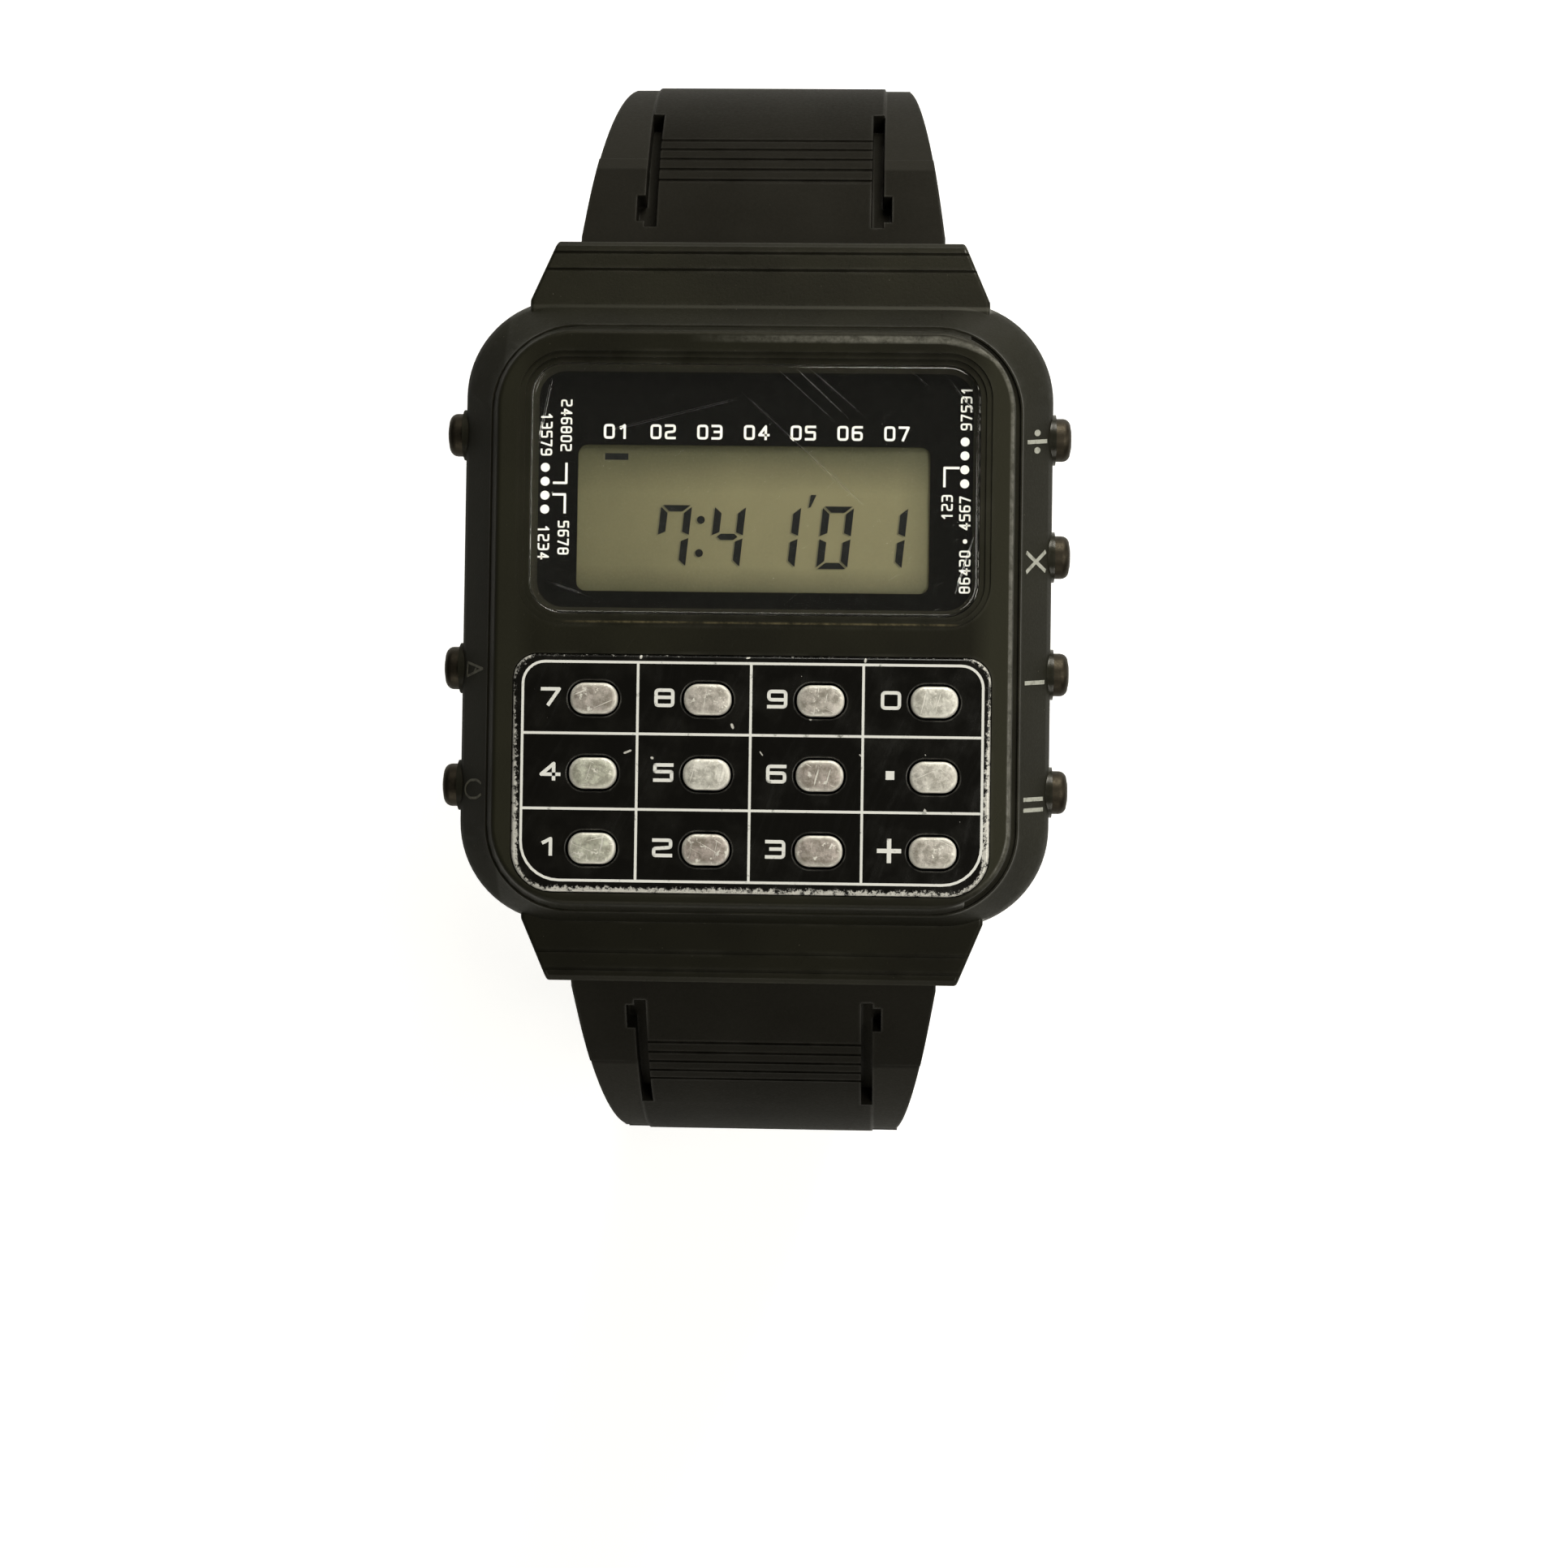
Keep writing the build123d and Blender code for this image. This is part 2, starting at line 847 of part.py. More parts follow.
def battery_cells():
    """Two button cells, each with its stepped rim."""
    cells = Part()
    for x in (cell_spread, -cell_spread):
        cells += Pos(x, cell_place, cell_low + cell_thickness / 2) * Cylinder(
            cell_radius - cell_rim, cell_thickness
        )
        tall = cell_thickness - cell_rim
        cells += Pos(x, cell_place, cell_low + tall / 2) * Cylinder(cell_radius, tall)
    return cells


def battery_clamp():
    """Sheet spring that holds both cells."""
    half = clamp_length / 2
    body = block(-half, half, *around(cell_place, clamp_width), cell_low - clamp_thickness, cell_low)
    for x in (-half + 2 * clamp_hole, half - 2 * clamp_hole, 0):
        body -= Pos(x, cell_place, cell_low) * Cylinder(clamp_hole, cut_overrun)
    return body


def back_cover():
    """Stainless back with a rounded edge and four screw holes."""
    body = plate(cover_width, cover_length, cover_corner, 0, cover_thickness)
    body = chamfer(body.edges().group_by(Axis.Z)[0], cover_edge)
    for x in (screw_x, -screw_x):
        for y in (screw_y, -screw_y):
            body -= Pos(x, y, cover_thickness / 2) * Cylinder(screw_radius + screw_gap, 2 * cover_thickness)
            sink = screw_head_height + screw_sink
            body -= Pos(x, y, sink / 2) * Cone(screw_head_radius + screw_gap, screw_radius + screw_gap, sink)
    return body


def gasket_ring():
    """Seal between the cover and the case, round the bay."""
    grow = 2 * gasket_inset
    outer = grow + 2 * gasket_width
    low, high = cover_thickness, cover_thickness + gasket_height
    ring = plate(bay_width + outer, bay_length + outer, bay_corner + outer / 2, low, high)
    return ring - plate(
        bay_width + grow, bay_length + grow, bay_corner + grow / 2, low - cut_overrun, high + cut_overrun
    )


def back_screws():
    """Four countersunk screws with a slot."""
    screws = Part()
    for x in (screw_x, -screw_x):
        for y in (screw_y, -screw_y):
            head = Pos(0, 0, screw_sink + screw_head_height / 2) * Cone(
                screw_head_radius, screw_radius, screw_head_height
            )
            shank = Pos(0, 0, screw_sink + screw_length / 2) * Cylinder(screw_radius, screw_length)
            slot = block(
                -screw_head_radius,
                screw_head_radius,
                -screw_slot / 2,
                screw_slot / 2,
                0,
                screw_sink + screw_slot_depth,
            )
            screws += Pos(x, y, 0) * (head + shank - slot)
    return screws


def spring_bar(side):
    """Sprung bar that the strap turns on."""
    bar = rod(bar_radius, -strap_root_half, strap_root_half, side * hinge_y, hinge_z)
    tip = strap_root_half + bar_tip_length
    return bar + rod(bar_tip_radius, -tip, tip, side * hinge_y, hinge_z)


def strap_root_part(line, side, band_at):
    """The strap from its hinge to the end of the first bend, tapered and patterned."""
    end = line.root_length
    body = line.band(0, end, -half_thick, half_thick, -strap_root_half, strap_root_half, side)
    lean = radians(taper_lean_angle)
    ends = [line.place(taper_start), line.place(taper_end)]
    along = [y * cos(lean) - z * sin(lean) for y, z in ends]
    near, far = 0, 2 * along[1]
    plan = make_face(
        Polyline(
            (-strap_root_half, side * near),
            (strap_root_half, side * near),
            (strap_root_half, side * along[0]),
            (strap_half, side * along[1]),
            (strap_half, side * far),
            (-strap_half, side * far),
            (-strap_half, side * along[1]),
            (-strap_root_half, side * along[0]),
            close=True,
        )
    )
    tall = 2 * hood_reach
    body &= Rot(-side * taper_lean_angle, 0, 0) * Pos(0, 0, -tall) * extrude(plan, 2 * tall)
    knuckle = rod(knuckle_radius, -strap_root_half, strap_root_half, side * hinge_y, hinge_z)
    body += knuckle
    body -= rod(bar_radius + bar_gap, -strap_root_half, strap_root_half, side * hinge_y, hinge_z)
    over = half_thick + cut_overrun
    for hand in (1, -1):
        inner, outer = slot_inner, slot_inner + slot_width
        left, right = sorted((hand * inner, hand * outer))
        body -= line.band(slot_from, slot_to, half_thick - slot_depth, over, left, right, side)
        left, right = sorted((hand * inner, hand * (outer + notch_extra)))
        notch_end = notch_from + notch_length
        body -= line.band(notch_from, notch_end, half_thick - slot_depth, over, left, right, side)
        left, right = sorted((hand * outer, hand * strap_root_half))
        body -= line.band(rail_step, end, half_thick - rail_drop, over, left, right, side)
    for rib in range(rib_count):
        at = rib_from + rib * rib_spacing
        body -= line.band(at, at + rib_width, half_thick - rib_depth, over, -slot_inner, slot_inner, side)
    edge = strap_half - rail_margin
    body -= line.band(band_at, band_at + band_width, half_thick - band_depth, over, -edge, edge, side)
    return body


def strap_lower():
    """Long half of the strap, with the adjusting holes and a round tip."""
    side = -1
    body = strap_root_part(tail_line, side, tail_band_at)
    flat_from = tail_line.length - tail_flat
    start = tail_line.root_length
    body += tail_line.band(start, flat_from, -half_thick, half_thick, -strap_half, strap_half, side)
    y0, z0 = tail_line.place(flat_from)
    tip = extrude(Rectangle(2 * strap_half, tail_flat), strap_thickness)
    corners = tip.edges().filter_by(Axis.Z).group_by(Axis.Y)[-1]
    tip = fillet(corners, tail_tip_round)
    body += Pos(0, tail_flat / 2 - y0, z0 - half_thick) * tip
    for number in range(hole_count):
        at = tail_line.length - hole_from_tip - number * hole_spacing
        y, z = tail_line.place(at)
        turn = -side * (tail_line.heading(at))
        cutter = extrude(SlotOverall(hole_slot, 2 * hole_radius), strap_thickness, both=True)
        body -= Pos(0, side * y, z) * Rot(turn, 0, 0) * cutter
    return body


def strap_upper():
    """Short half of the strap, ending in the knuckle that holds the buckle's bar."""
    body = strap_root_part(head_line, 1, head_band_at)
    end = head_line.length
    start = head_line.root_length
    body += head_line.band(start, end, -half_thick, half_thick, -strap_half, strap_half, 1)
    y, z = head_line.place(end)
    body += rod(buckle_knuckle, -strap_half, strap_half, y, z)
    body -= rod(buckle_bar_radius + buckle_bar_gap, -strap_half, strap_half, y, z)
    half = tongue_width / 2 + tongue_gap
    gap = end - tongue_eye - 2 * tongue_gap
    body -= head_line.band(gap, end, -2 * buckle_knuckle, 2 * buckle_knuckle, -half, half, 1)
    body -= rod(tongue_eye + tongue_gap + buckle_knuckle - buckle_bar_radius, -half, half, y, z)
    return body


def buckle_place():
    """The hanging frame's own place: X across, Y from the bar to the far end, Z outwards."""
    y, z = head_line.place(head_line.length)
    return Pos(0, y, z) * Rot(-90, 0, 0)


def buckle_frame():
    """Steel frame with an eye for the bar at the end of each side."""
    half = buckle_inner_half + buckle_side
    outer = extrude(Rectangle(2 * half, buckle_length), buckle_thickness)
    corners = outer.edges().filter_by(Axis.Z).group_by(Axis.Y)[-1]
    outer = fillet(corners, buckle_corner)
    outer = fillet(outer.edges().group_by(Axis.Z)[-1].group_by(Axis.Y)[-1], buckle_edge)
    outer = Pos(0, buckle_length / 2, -buckle_thickness / 2) * outer
    inside = buckle_length - buckle_end_bar
    outer -= block(
        -buckle_inner_half, buckle_inner_half, -cut_overrun, inside, -buckle_thickness, buckle_thickness
    )
    for hand in (1, -1):
        outer += rod(buckle_eye, hand * buckle_inner_half, hand * half)
        outer -= rod(buckle_bar_radius + buckle_bar_gap, hand * buckle_inner_half, hand * half)
    return buckle_place() * outer


def buckle_bar():
    """Bar through the strap's end, the tongue and the frame."""
    half = buckle_inner_half + buckle_side
    return buckle_place() * rod(buckle_bar_radius, -half, half)


def buckle_tongue():
    """Tongue that lies over the frame's far bar."""
    rest = buckle_thickness / 2 + tongue_rest_gap
    tip = buckle_length + tongue_overhang
    low = tongue_eye - tongue_thickness
    outline = [
        (0, low),
        (buckle_length - buckle_end_bar - tongue_gap, rest),
        (tip, rest),
        (tip, rest + tongue_thickness / 2),
        (tip - tongue_thickness / 2, rest + tongue_thickness),
        (buckle_length - buckle_end_bar - tongue_gap, rest + tongue_thickness),
        (0, tongue_eye),
    ]
    body = profile(outline, tongue_width / 2)
    body += rod(tongue_eye, -tongue_width / 2, tongue_width / 2)
    body -= rod(buckle_bar_radius + buckle_bar_gap, -tongue_width, tongue_width)
    return buckle_place() * body


def keeper_loop():
    """Loose loop that tucks the long half's end in."""
    run = head_line.runs[4]
    middle = run[0] + keeper_share * (run[1] - run[0])
    y, z = head_line.place(middle)
    low = -half_thick - keeper_gap - keeper_wall
    high = half_thick + keeper_room + keeper_wall
    outer = RectangleRounded(2 * (strap_half + keeper_gap + keeper_wall), high - low, keeper_round)
    hole = RectangleRounded(
        2 * (strap_half + keeper_gap), high - low - 2 * keeper_wall, keeper_round - keeper_gap
    )
    ring = Pos(0, (low + high) / 2, 0) * extrude(outer - hole, keeper_width / 2, both=True)
    return Pos(0, y, z) * Rot(head_line.heading(middle), 0, 0) * Rot(90, 0, 0) * ring


def watch():
    """Every piece by its node's name."""
    pieces = {
        "case_shell": case_shell(),
        "display_glass": display_glass(),
        "dial_mask": dial_mask(),
        "lcd_panel": lcd_panel(),
        "connector_strips": connector_strips(),
        "keypad_plate": keypad_plate(),
        "key_mat": key_mat(),
        "module_frame": module_frame(),
        "circuit_board": circuit_board(),
        "chips": chips(),
        "quartz_crystal": quartz_crystal(),
        "trimmer_capacitor": trimmer_capacitor(),
        "lamp": lamp(),
        "battery_cells": battery_cells(),
        "battery_clamp": battery_clamp(),
        "contact_springs": contact_springs(),
        "back_cover": back_cover(),
        "back_gasket": gasket_ring(),
        "back_screws": back_screws(),
        "spring_bar_upper": spring_bar(1),
        "spring_bar_lower": spring_bar(-1),
        "strap_upper": strap_upper(),
        "strap_lower": strap_lower(),
        "buckle_frame": buckle_frame(),
        "buckle_bar": buckle_bar(),
        "buckle_tongue": buckle_tongue(),
        "keeper_loop": keeper_loop(),
    }
    for name, x, y in key_places():
        pieces[name] = Pos(x, y, 0) * key()
    for name, side, y in button_places():
        pieces[f"button_{name}"] = push_button(side, y)
        pieces[f"clip_{name}"] = button_clip(side, y)
        pieces[f"spring_{name}"] = button_spring(side, y)
    return pieces


os.makedirs("parts", exist_ok=True)
for node, piece in watch().items():
    export_step(piece, f"parts/{node}.step")
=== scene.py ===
import json
from functools import partialmethod
from math import atan2, cos, hypot, pi, radians, sin

import bmesh
import bpy
from mathutils import Matrix, Vector

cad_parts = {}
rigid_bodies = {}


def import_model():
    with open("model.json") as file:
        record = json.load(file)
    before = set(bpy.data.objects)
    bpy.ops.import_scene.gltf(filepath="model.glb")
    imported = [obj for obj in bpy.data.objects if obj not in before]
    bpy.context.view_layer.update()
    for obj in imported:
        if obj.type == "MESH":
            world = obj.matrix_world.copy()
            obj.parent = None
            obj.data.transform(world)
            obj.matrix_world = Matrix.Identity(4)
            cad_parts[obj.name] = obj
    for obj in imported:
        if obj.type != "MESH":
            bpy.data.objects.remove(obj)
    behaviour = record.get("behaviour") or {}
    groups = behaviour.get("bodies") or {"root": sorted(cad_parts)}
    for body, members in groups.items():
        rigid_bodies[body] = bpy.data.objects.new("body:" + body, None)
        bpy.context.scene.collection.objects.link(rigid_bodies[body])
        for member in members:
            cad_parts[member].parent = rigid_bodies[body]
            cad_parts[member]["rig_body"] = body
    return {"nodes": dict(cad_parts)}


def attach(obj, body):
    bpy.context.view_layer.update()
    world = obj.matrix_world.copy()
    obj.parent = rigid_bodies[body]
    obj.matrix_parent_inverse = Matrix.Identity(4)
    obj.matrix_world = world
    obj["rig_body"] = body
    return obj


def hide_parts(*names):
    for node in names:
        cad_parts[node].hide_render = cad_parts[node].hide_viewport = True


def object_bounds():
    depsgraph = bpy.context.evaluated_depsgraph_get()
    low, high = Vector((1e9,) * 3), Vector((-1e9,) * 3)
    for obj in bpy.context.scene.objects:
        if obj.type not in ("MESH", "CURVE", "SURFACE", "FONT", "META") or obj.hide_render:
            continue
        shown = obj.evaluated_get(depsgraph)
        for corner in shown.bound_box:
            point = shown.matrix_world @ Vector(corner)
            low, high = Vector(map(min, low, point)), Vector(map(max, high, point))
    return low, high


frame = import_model()
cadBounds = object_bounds()
nodes = frame["nodes"]
mm = 0.001  # everything below is in millimetres, and is scaled when a mesh is finished
print("frame loaded with", len(nodes), "nodes")


# Materials: short calls for the nodes that a look needs
class Look:
    def __init__(self, name, settings):
        self.material = bpy.data.materials.new(name)
        self.material.use_nodes = True
        self.tree = self.material.node_tree
        self.shader = self.tree.nodes["Principled BSDF"]
        for socket, value in settings.items():
            self.feed(self.shader.inputs[socket], value)

    def feed(self, socket, value):
        if isinstance(value, bpy.types.NodeSocket):
            self.tree.links.new(value, socket)
        elif hasattr(value, "__len__") and len(value) == 3 and socket.type == "RGBA":
            socket.default_value = (*value, 1)
        else:
            socket.default_value = value

    def node(self, kind, inputs, **options):
        made = self.tree.nodes.new("ShaderNode" + kind)
        for option, value in options.items():
            setattr(made, option, value)
        for socket, value in inputs.items():
            self.feed(made.inputs[socket], value)
        return made

    def place(self, stretch=(1, 1, 1), turn=0):
        # the piece's own millimetres, stretched and turned about Z
        source = self.node("TexCoord", {}).outputs["Object"]
        turned = self.node("Mapping", {"Vector": source, "Rotation": (0, 0, radians(turn))})
        scale = [share / mm for share in stretch]
        return self.node("Mapping", {"Vector": turned.outputs[0], "Scale": scale}).outputs[0]

    def axes(self, place):
        parts = self.node("SeparateXYZ", {"Vector": place}).outputs
        return [parts[axis] for axis in "XYZ"]

    def math(self, operation, first, *others):
        # one operation over two or more values, from the left
        for other in others:
            first = self.node("Math", {0: first, 1: other}, operation=operation).outputs[0]
        return first

    sum = partialmethod(math, "ADD")
    less = partialmethod(math, "SUBTRACT")
    times = partialmethod(math, "MULTIPLY")
    most = partialmethod(math, "MAXIMUM")

    def size(self, value):
        return self.math("ABSOLUTE", value, 0)

    def vector(self, operation, first, second=(0, 0, 0), result="Vector"):
        return self.node("VectorMath", {0: first, 1: second}, operation=operation).outputs[result]

    def mix(self, share, first, second):
        return self.node("Mix", {0: share, 6: first, 7: second}, data_type="RGBA").outputs[2]

    def noise(self, place, size, detail=3, rough=0.6):
        inputs = {"Vector": place, "Scale": 1 / size, "Detail": detail, "Roughness": rough}
        return self.node("TexNoise", inputs).outputs["Fac"]

    def span(self, value, low, high, start=0, end=1):
        inputs = {"Value": value, "From Min": low, "From Max": high, "To Min": start, "To Max": end}
        return self.node("MapRange", inputs).outputs[0]

    def patch(self, place, size, detail, rough, *limits):
        # noise of one size, cut to the limits of a span
        return self.span(self.noise(place, size, detail, rough), *limits)

    def band(self, value, low, lowFull, highFull, high):
        # 1 between two levels, fading to 0 past them
        return self.times(self.span(value, low, lowFull), self.span(value, high, highFull))

    def edges(self, radius, low, high):
        # 1 along the outer edges and 0 on the flats, from how far the rounded normal leans
        soft = self.node("Bevel", {"Radius": radius * mm}, samples=6).outputs[0]
        plain = self.node("NewGeometry", {}).outputs["Normal"]
        return self.span(self.less(1.0, self.vector("DOT_PRODUCT", soft, plain, "Value")), low, high)

    def bump(self, height, depth):
        inputs = {"Height": height, "Distance": depth * mm, "Strength": 1.0}
        return self.node("Bump", inputs).outputs[0]

    def streaks(self, size, turn, low, high, bend):
        # fine scratches: noise drawn out along one direction, which wanders by bend
        wander = self.node("TexNoise", {"Vector": self.place(), "Scale": 0.12, "Detail": 1}).outputs["Color"]
        drift = self.vector("MULTIPLY", wander, (bend, 0, 0))
        return self.patch(self.vector("ADD", self.place((1, 0.02, 1), turn), drift), size, 2, 0.5, low, high)

    def scratch(self, place, start, end, width, fade=0.5):
        # 1 along a thin line from start to end, 0 elsewhere
        dx, dy = end[0] - start[0], end[1] - start[1]
        run = hypot(dx, dy)
        off = self.vector("SUBTRACT", place, (*start, 0))
        along = self.vector("DOT_PRODUCT", off, (dx / run, dy / run, 0), "Value")
        across = self.vector("DOT_PRODUCT", off, (-dy / run, dx / run, 0), "Value")
        past = self.less(self.size(self.less(along, run / 2)), run / 2)
        return self.times(self.span(self.size(across), width, 0), self.span(past, fade, -fade))

    def rim(self, place, width, length, corner, middle):
        # how far inside a rounded outline a point lies, in millimetres
        off = self.vector("MULTIPLY", self.vector("SUBTRACT", place, (*middle, 0)), (1, 1, 0))
        straight = (width / 2 - corner, length / 2 - corner, 0)
        over = self.vector("SUBTRACT", self.vector("ABSOLUTE", off), straight)
        reach = self.vector("LENGTH", self.vector("MAXIMUM", over), result="Value")
        return self.less(corner, reach)

    def set(self, **sockets):
        names = {
            "colour": "Base Color", "rough": "Roughness", "normal": "Normal", "metal": "Metallic",
            "coat": "Coat Weight",
        }
        for name, value in sockets.items():
            self.feed(self.shader.inputs[names[name]], value)


def tone(red, green, blue):
    # a colour as it shows on a screen, from 0 to 255, turned to the linear value that a shader takes
    return tuple((c / 255 / 12.92) if c < 10 else ((c / 255 + 0.055) / 1.055) ** 2.4 for c in (red, green, blue))


# In the looks below, a patch is (size, detail, roughness, from, to) and at times (..., lowest, highest),
# a band is four levels on one axis, and streaks are (size, turn, from, to, bend)
resinBase = {
    "tint": (1, 0.94, 0.76), "coatRough": 0.22, "lean": (0.012, 0.1), "scratch": (0.09, 33, 0.68, 0.74, 0.6),
    "grainShare": 0.6, "scratchShare": -0.5,
}
islandSettings = {
    "outline": (30.1, 33.4, 4.6, (0, -0.7)), "level": (8.3, 8.5), "colour": tone(42, 42, 32),
    "litRails": (12.6, 13.8), "leftSide": (-1, 1, 0.45, 1), "railEdge": (0, 0.3),
    "farEnd": (14.2, 15.4), "farShift": 0.2, "line": (0.03, 0.1, 0.22, 0.34),
    "ragged": (0.7, 4, 0.8, 0.36, 0.6, 0.3, 1),
    "highlightX": (-4, 7), "highlightY": (-17, -14), "highlightTop": (11, 15, 0.66, 1.0), "highlightColour": tone(112, 111, 102),
    "hoodEdgeHighlight": (17.72, 17.82, 17.96, 18.06), "hoodEdgeHighlightX": (-13, 12, 0.1, 0.3),
    "lipGlint": (-1.09, -1.04, -0.98, -0.93), "lipX": (-11.2, -9.0, 11.0, 12.0),
    "lipPatch": (1.2, 4, 0.8, 0.38, 0.6, 0.05, 0.6), "lipGlintColour": tone(116, 106, 76),
}


def islandLightAndWear(look, place, body):
    # the raised top: side rails painted lighter as if lit, less on the left; a painted highlight along the upper and
    # right edge; a pale painted highlight line where the upper hood meets the case; and a brown painted highlight on
    # the worn lip under the glass
    i = islandSettings
    x, y, z = look.axes(place)
    inside = look.rim(place, *i["outline"])
    raised = look.span(z, *i["level"])
    # painted light: the outer strips of the raised top are lighter, as where light falls, and less so on the left
    # side
    litRails = look.times(look.span(look.size(x), *i["litRails"]), look.span(x, *i["leftSide"]))
    body = look.mix(look.times(raised, litRails, look.span(inside, *i["railEdge"])), body, i["colour"])
    # painted highlight: a ragged bright line inside the upper and right edge of the raised top, where its round
    # catches light
    far = look.span(y, *i["farEnd"])
    depth = look.math("DIVIDE", look.less(inside, look.times(far, i["farShift"])), look.sum(far, 1))
    where = look.times(look.span(x, *i["highlightX"]), look.span(y, *i["highlightY"]), look.span(y, *i["highlightTop"]))
    brightLine = look.times(look.band(depth, *i["line"]), where, look.patch(place, *i["ragged"]), raised)
    body = look.mix(brightLine, body, i["highlightColour"])
    # painted highlight: a pale line across the case's top edge where the upper hood meets it
    hoodEdgeHighlight = look.times(look.band(y, *i["hoodEdgeHighlight"]), look.span(x, *i["hoodEdgeHighlightX"]))
    body = look.mix(hoodEdgeHighlight, body, i["highlightColour"])
    # a brown painted highlight along the worn lip edge under the glass
    lipGlint = look.times(look.band(y, *i["lipGlint"]), look.band(x, *i["lipX"]), look.patch(place, *i["lipPatch"]), raised)
    return look.mix(lipGlint, body, i["lipGlintColour"]), brightLine


def resinLook(name, settings):
    # black resin: clouded, grained and specked, with its edges worn and polished; the worn edges are lightened partly
    # as painted highlight
    s = {**resinBase, **settings}
    look = Look(name, {
        "Specular IOR Level": s["shine"], "Specular Tint": s["tint"], "Coat Roughness": s["coatRough"],
    })
    place = look.place()
    x, y, _ = look.axes(place)
    grain = look.noise(place, s["grain"], 2)
    ridge = look.edges(s["wearAndSheenWidth"], *s["lean"])
    # on the case the edge mask, and with it the lighter edges and their polish and gloss, fades out towards the left
    # flank
    if "edgeSheenAcross" in s:
        ridge = look.times(ridge, look.span(x, *s["edgeSheenAcross"]))
    body = look.mix(look.patch(place, *s["cloud"]), s["dark"], s["light"])
    polish = look.times(ridge, s["polish"])
    rough = look.span(look.less(grain, ridge), *s["rough"])
    if "railColour" in s:
        along = look.size(y)
        rail = look.times(look.span(look.size(x), *s["railX"]), look.span(along, *s["railY"]))
        body = look.mix(look.times(rail, look.span(along, *s["railFade"])), body, s["railColour"])
    else:
        body, brightLine = islandLightAndWear(look, place, body)
        polish = look.most(polish, brightLine)
        rough = look.most(rough, look.span(x, *s["leftDull"]))
    # edges lightened: partly real wear and partly painted highlight
    worn = look.times(ridge, look.patch(place, *s["wearAndSheenPatch"]), s["wearAndSheenShare"])
    body = look.mix(worn, body, s["wearAndSheenColour"])
    body = look.mix(look.times(look.patch(place, *s["speck"]), s["speckShare"]), body, s["speckColour"])
    height = look.sum(
        look.times(grain, s["grainShare"]), look.times(look.streaks(*s["scratch"]), s["scratchShare"])
    )
    look.set(colour=body, rough=rough, coat=polish, normal=look.bump(height, s["relief"]))


resinLook("caseResin", {
    "dark": tone(18, 18, 11), "light": tone(26, 26, 17), "cloud": (7.0, 2, 0.6, 0.35, 0.65), "grain": 0.16,
    "speck": (0.14, 1, 0.6, 0.8, 0.83), "speckShare": 0.7, "speckColour": tone(120, 116, 100), "relief": 0.012,
    "wearAndSheenWidth": 0.4, "wearAndSheenPatch": (2.4, 3, 0.6, 0.35, 0.7), "wearAndSheenShare": 0.22, "wearAndSheenColour": tone(92, 90, 80),
    "edgeSheenAcross": (-15.0, -8.0, 0.1, 1), "leftDull": (-14.0, -14.9, 0, 0.64),
    "rough": (-0.7, 0.8, 0.3, 0.56), "shine": 0.2, "polish": 0.6,
})
resinLook("strapResin", {
    "dark": tone(19, 18, 14), "light": tone(26, 25, 21), "cloud": (9.0, 2, 0.6, 0.35, 0.65), "grain": 0.2,
    "speck": (0.12, 1, 0.6, 0.82, 0.85), "speckShare": 0.4, "speckColour": tone(96, 94, 86), "relief": 0.016,
    "wearAndSheenWidth": 0.3, "wearAndSheenPatch": (1.6, 3, 0.6, 0.35, 0.7), "wearAndSheenShare": 0.3, "wearAndSheenColour": tone(62, 61, 56),
    "railX": (7.15, 7.25), "railY": (27.25, 27.4), "railFade": (38, 30), "railColour": tone(38, 37, 33),
    "rough": (-0.7, 0.8, 0.4, 0.64), "shine": 0.09, "polish": 0.12,
})

glassWear = {
    "fine": (0.07, 52, 0.72, 0.78, 1.2), "fineShare": 0.35, "edge": (0.14, 0.03, 0.14),
    "rimPatch": (0.6, 4, 0.75, 0.5, 0.62), "rimShare": 0.5, "haze": (3.0, 3, 0.6, 0.5, 0.8, 0, 0.16),
    "rough": (0, 1, 0.01, 0.3), "relief": 0.009, "shadow": (0.96, 0.96, 0.95),
    "lines": (
        ((-8.6, 10.1), (-1.2, 12.0), 0.05), ((-0.6, 12.2), (6.2, 6.0), 0.06), ((1.4, 13.6), (4.4, 10.9), 0.04),
        ((2.3, 13.8), (5.3, 11.0), 0.035), ((3.2, 13.7), (6.1, 11.2), 0.045), ((11.2, 13.2), (12.6, 11.4), 0.06),
        ((9.2, 13.5), (9.9, 12.9), 0.08), ((-11.9, 1.3), (-9.8, 0.6), 0.04), ((11.7, 1.0), (12.6, 3.9), 0.05),
        ((-12.6, 9.4), (-11.9, 13.1), 0.035),
    ),
}


def glassLook():
    # clear glass that lets the lamps through to the display, with single scratches, haze and a worn rim
    w = glassWear
    look = Look("scratchedGlass", {"Base Color": (1, 1, 1), "Transmission Weight": 1.0, "IOR": 1.5})
    place = look.place()
    fine = look.times(look.streaks(*w["fine"]), w["fineShare"])
    marks = look.most(fine, *[look.scratch(place, *line) for line in w["lines"]])
    rim = look.times(look.edges(*w["edge"]), look.patch(place, *w["rimPatch"]))
    rough = look.sum(marks, look.times(rim, w["rimShare"]), look.patch(place, *w["haze"]))
    look.set(rough=look.span(rough, *w["rough"]), normal=look.bump(look.sum(marks, rim), w["relief"]))
    clear = look.node("BsdfTransparent", {"Color": w["shadow"]}).outputs[0]
    shadow = look.node("LightPath", {}).outputs["Is Shadow Ray"]
    joined = look.node("MixShader", {0: shadow, 1: look.shader.outputs[0], 2: clear}).outputs[0]
    look.feed(look.tree.nodes["Material Output"].inputs["Surface"], joined)


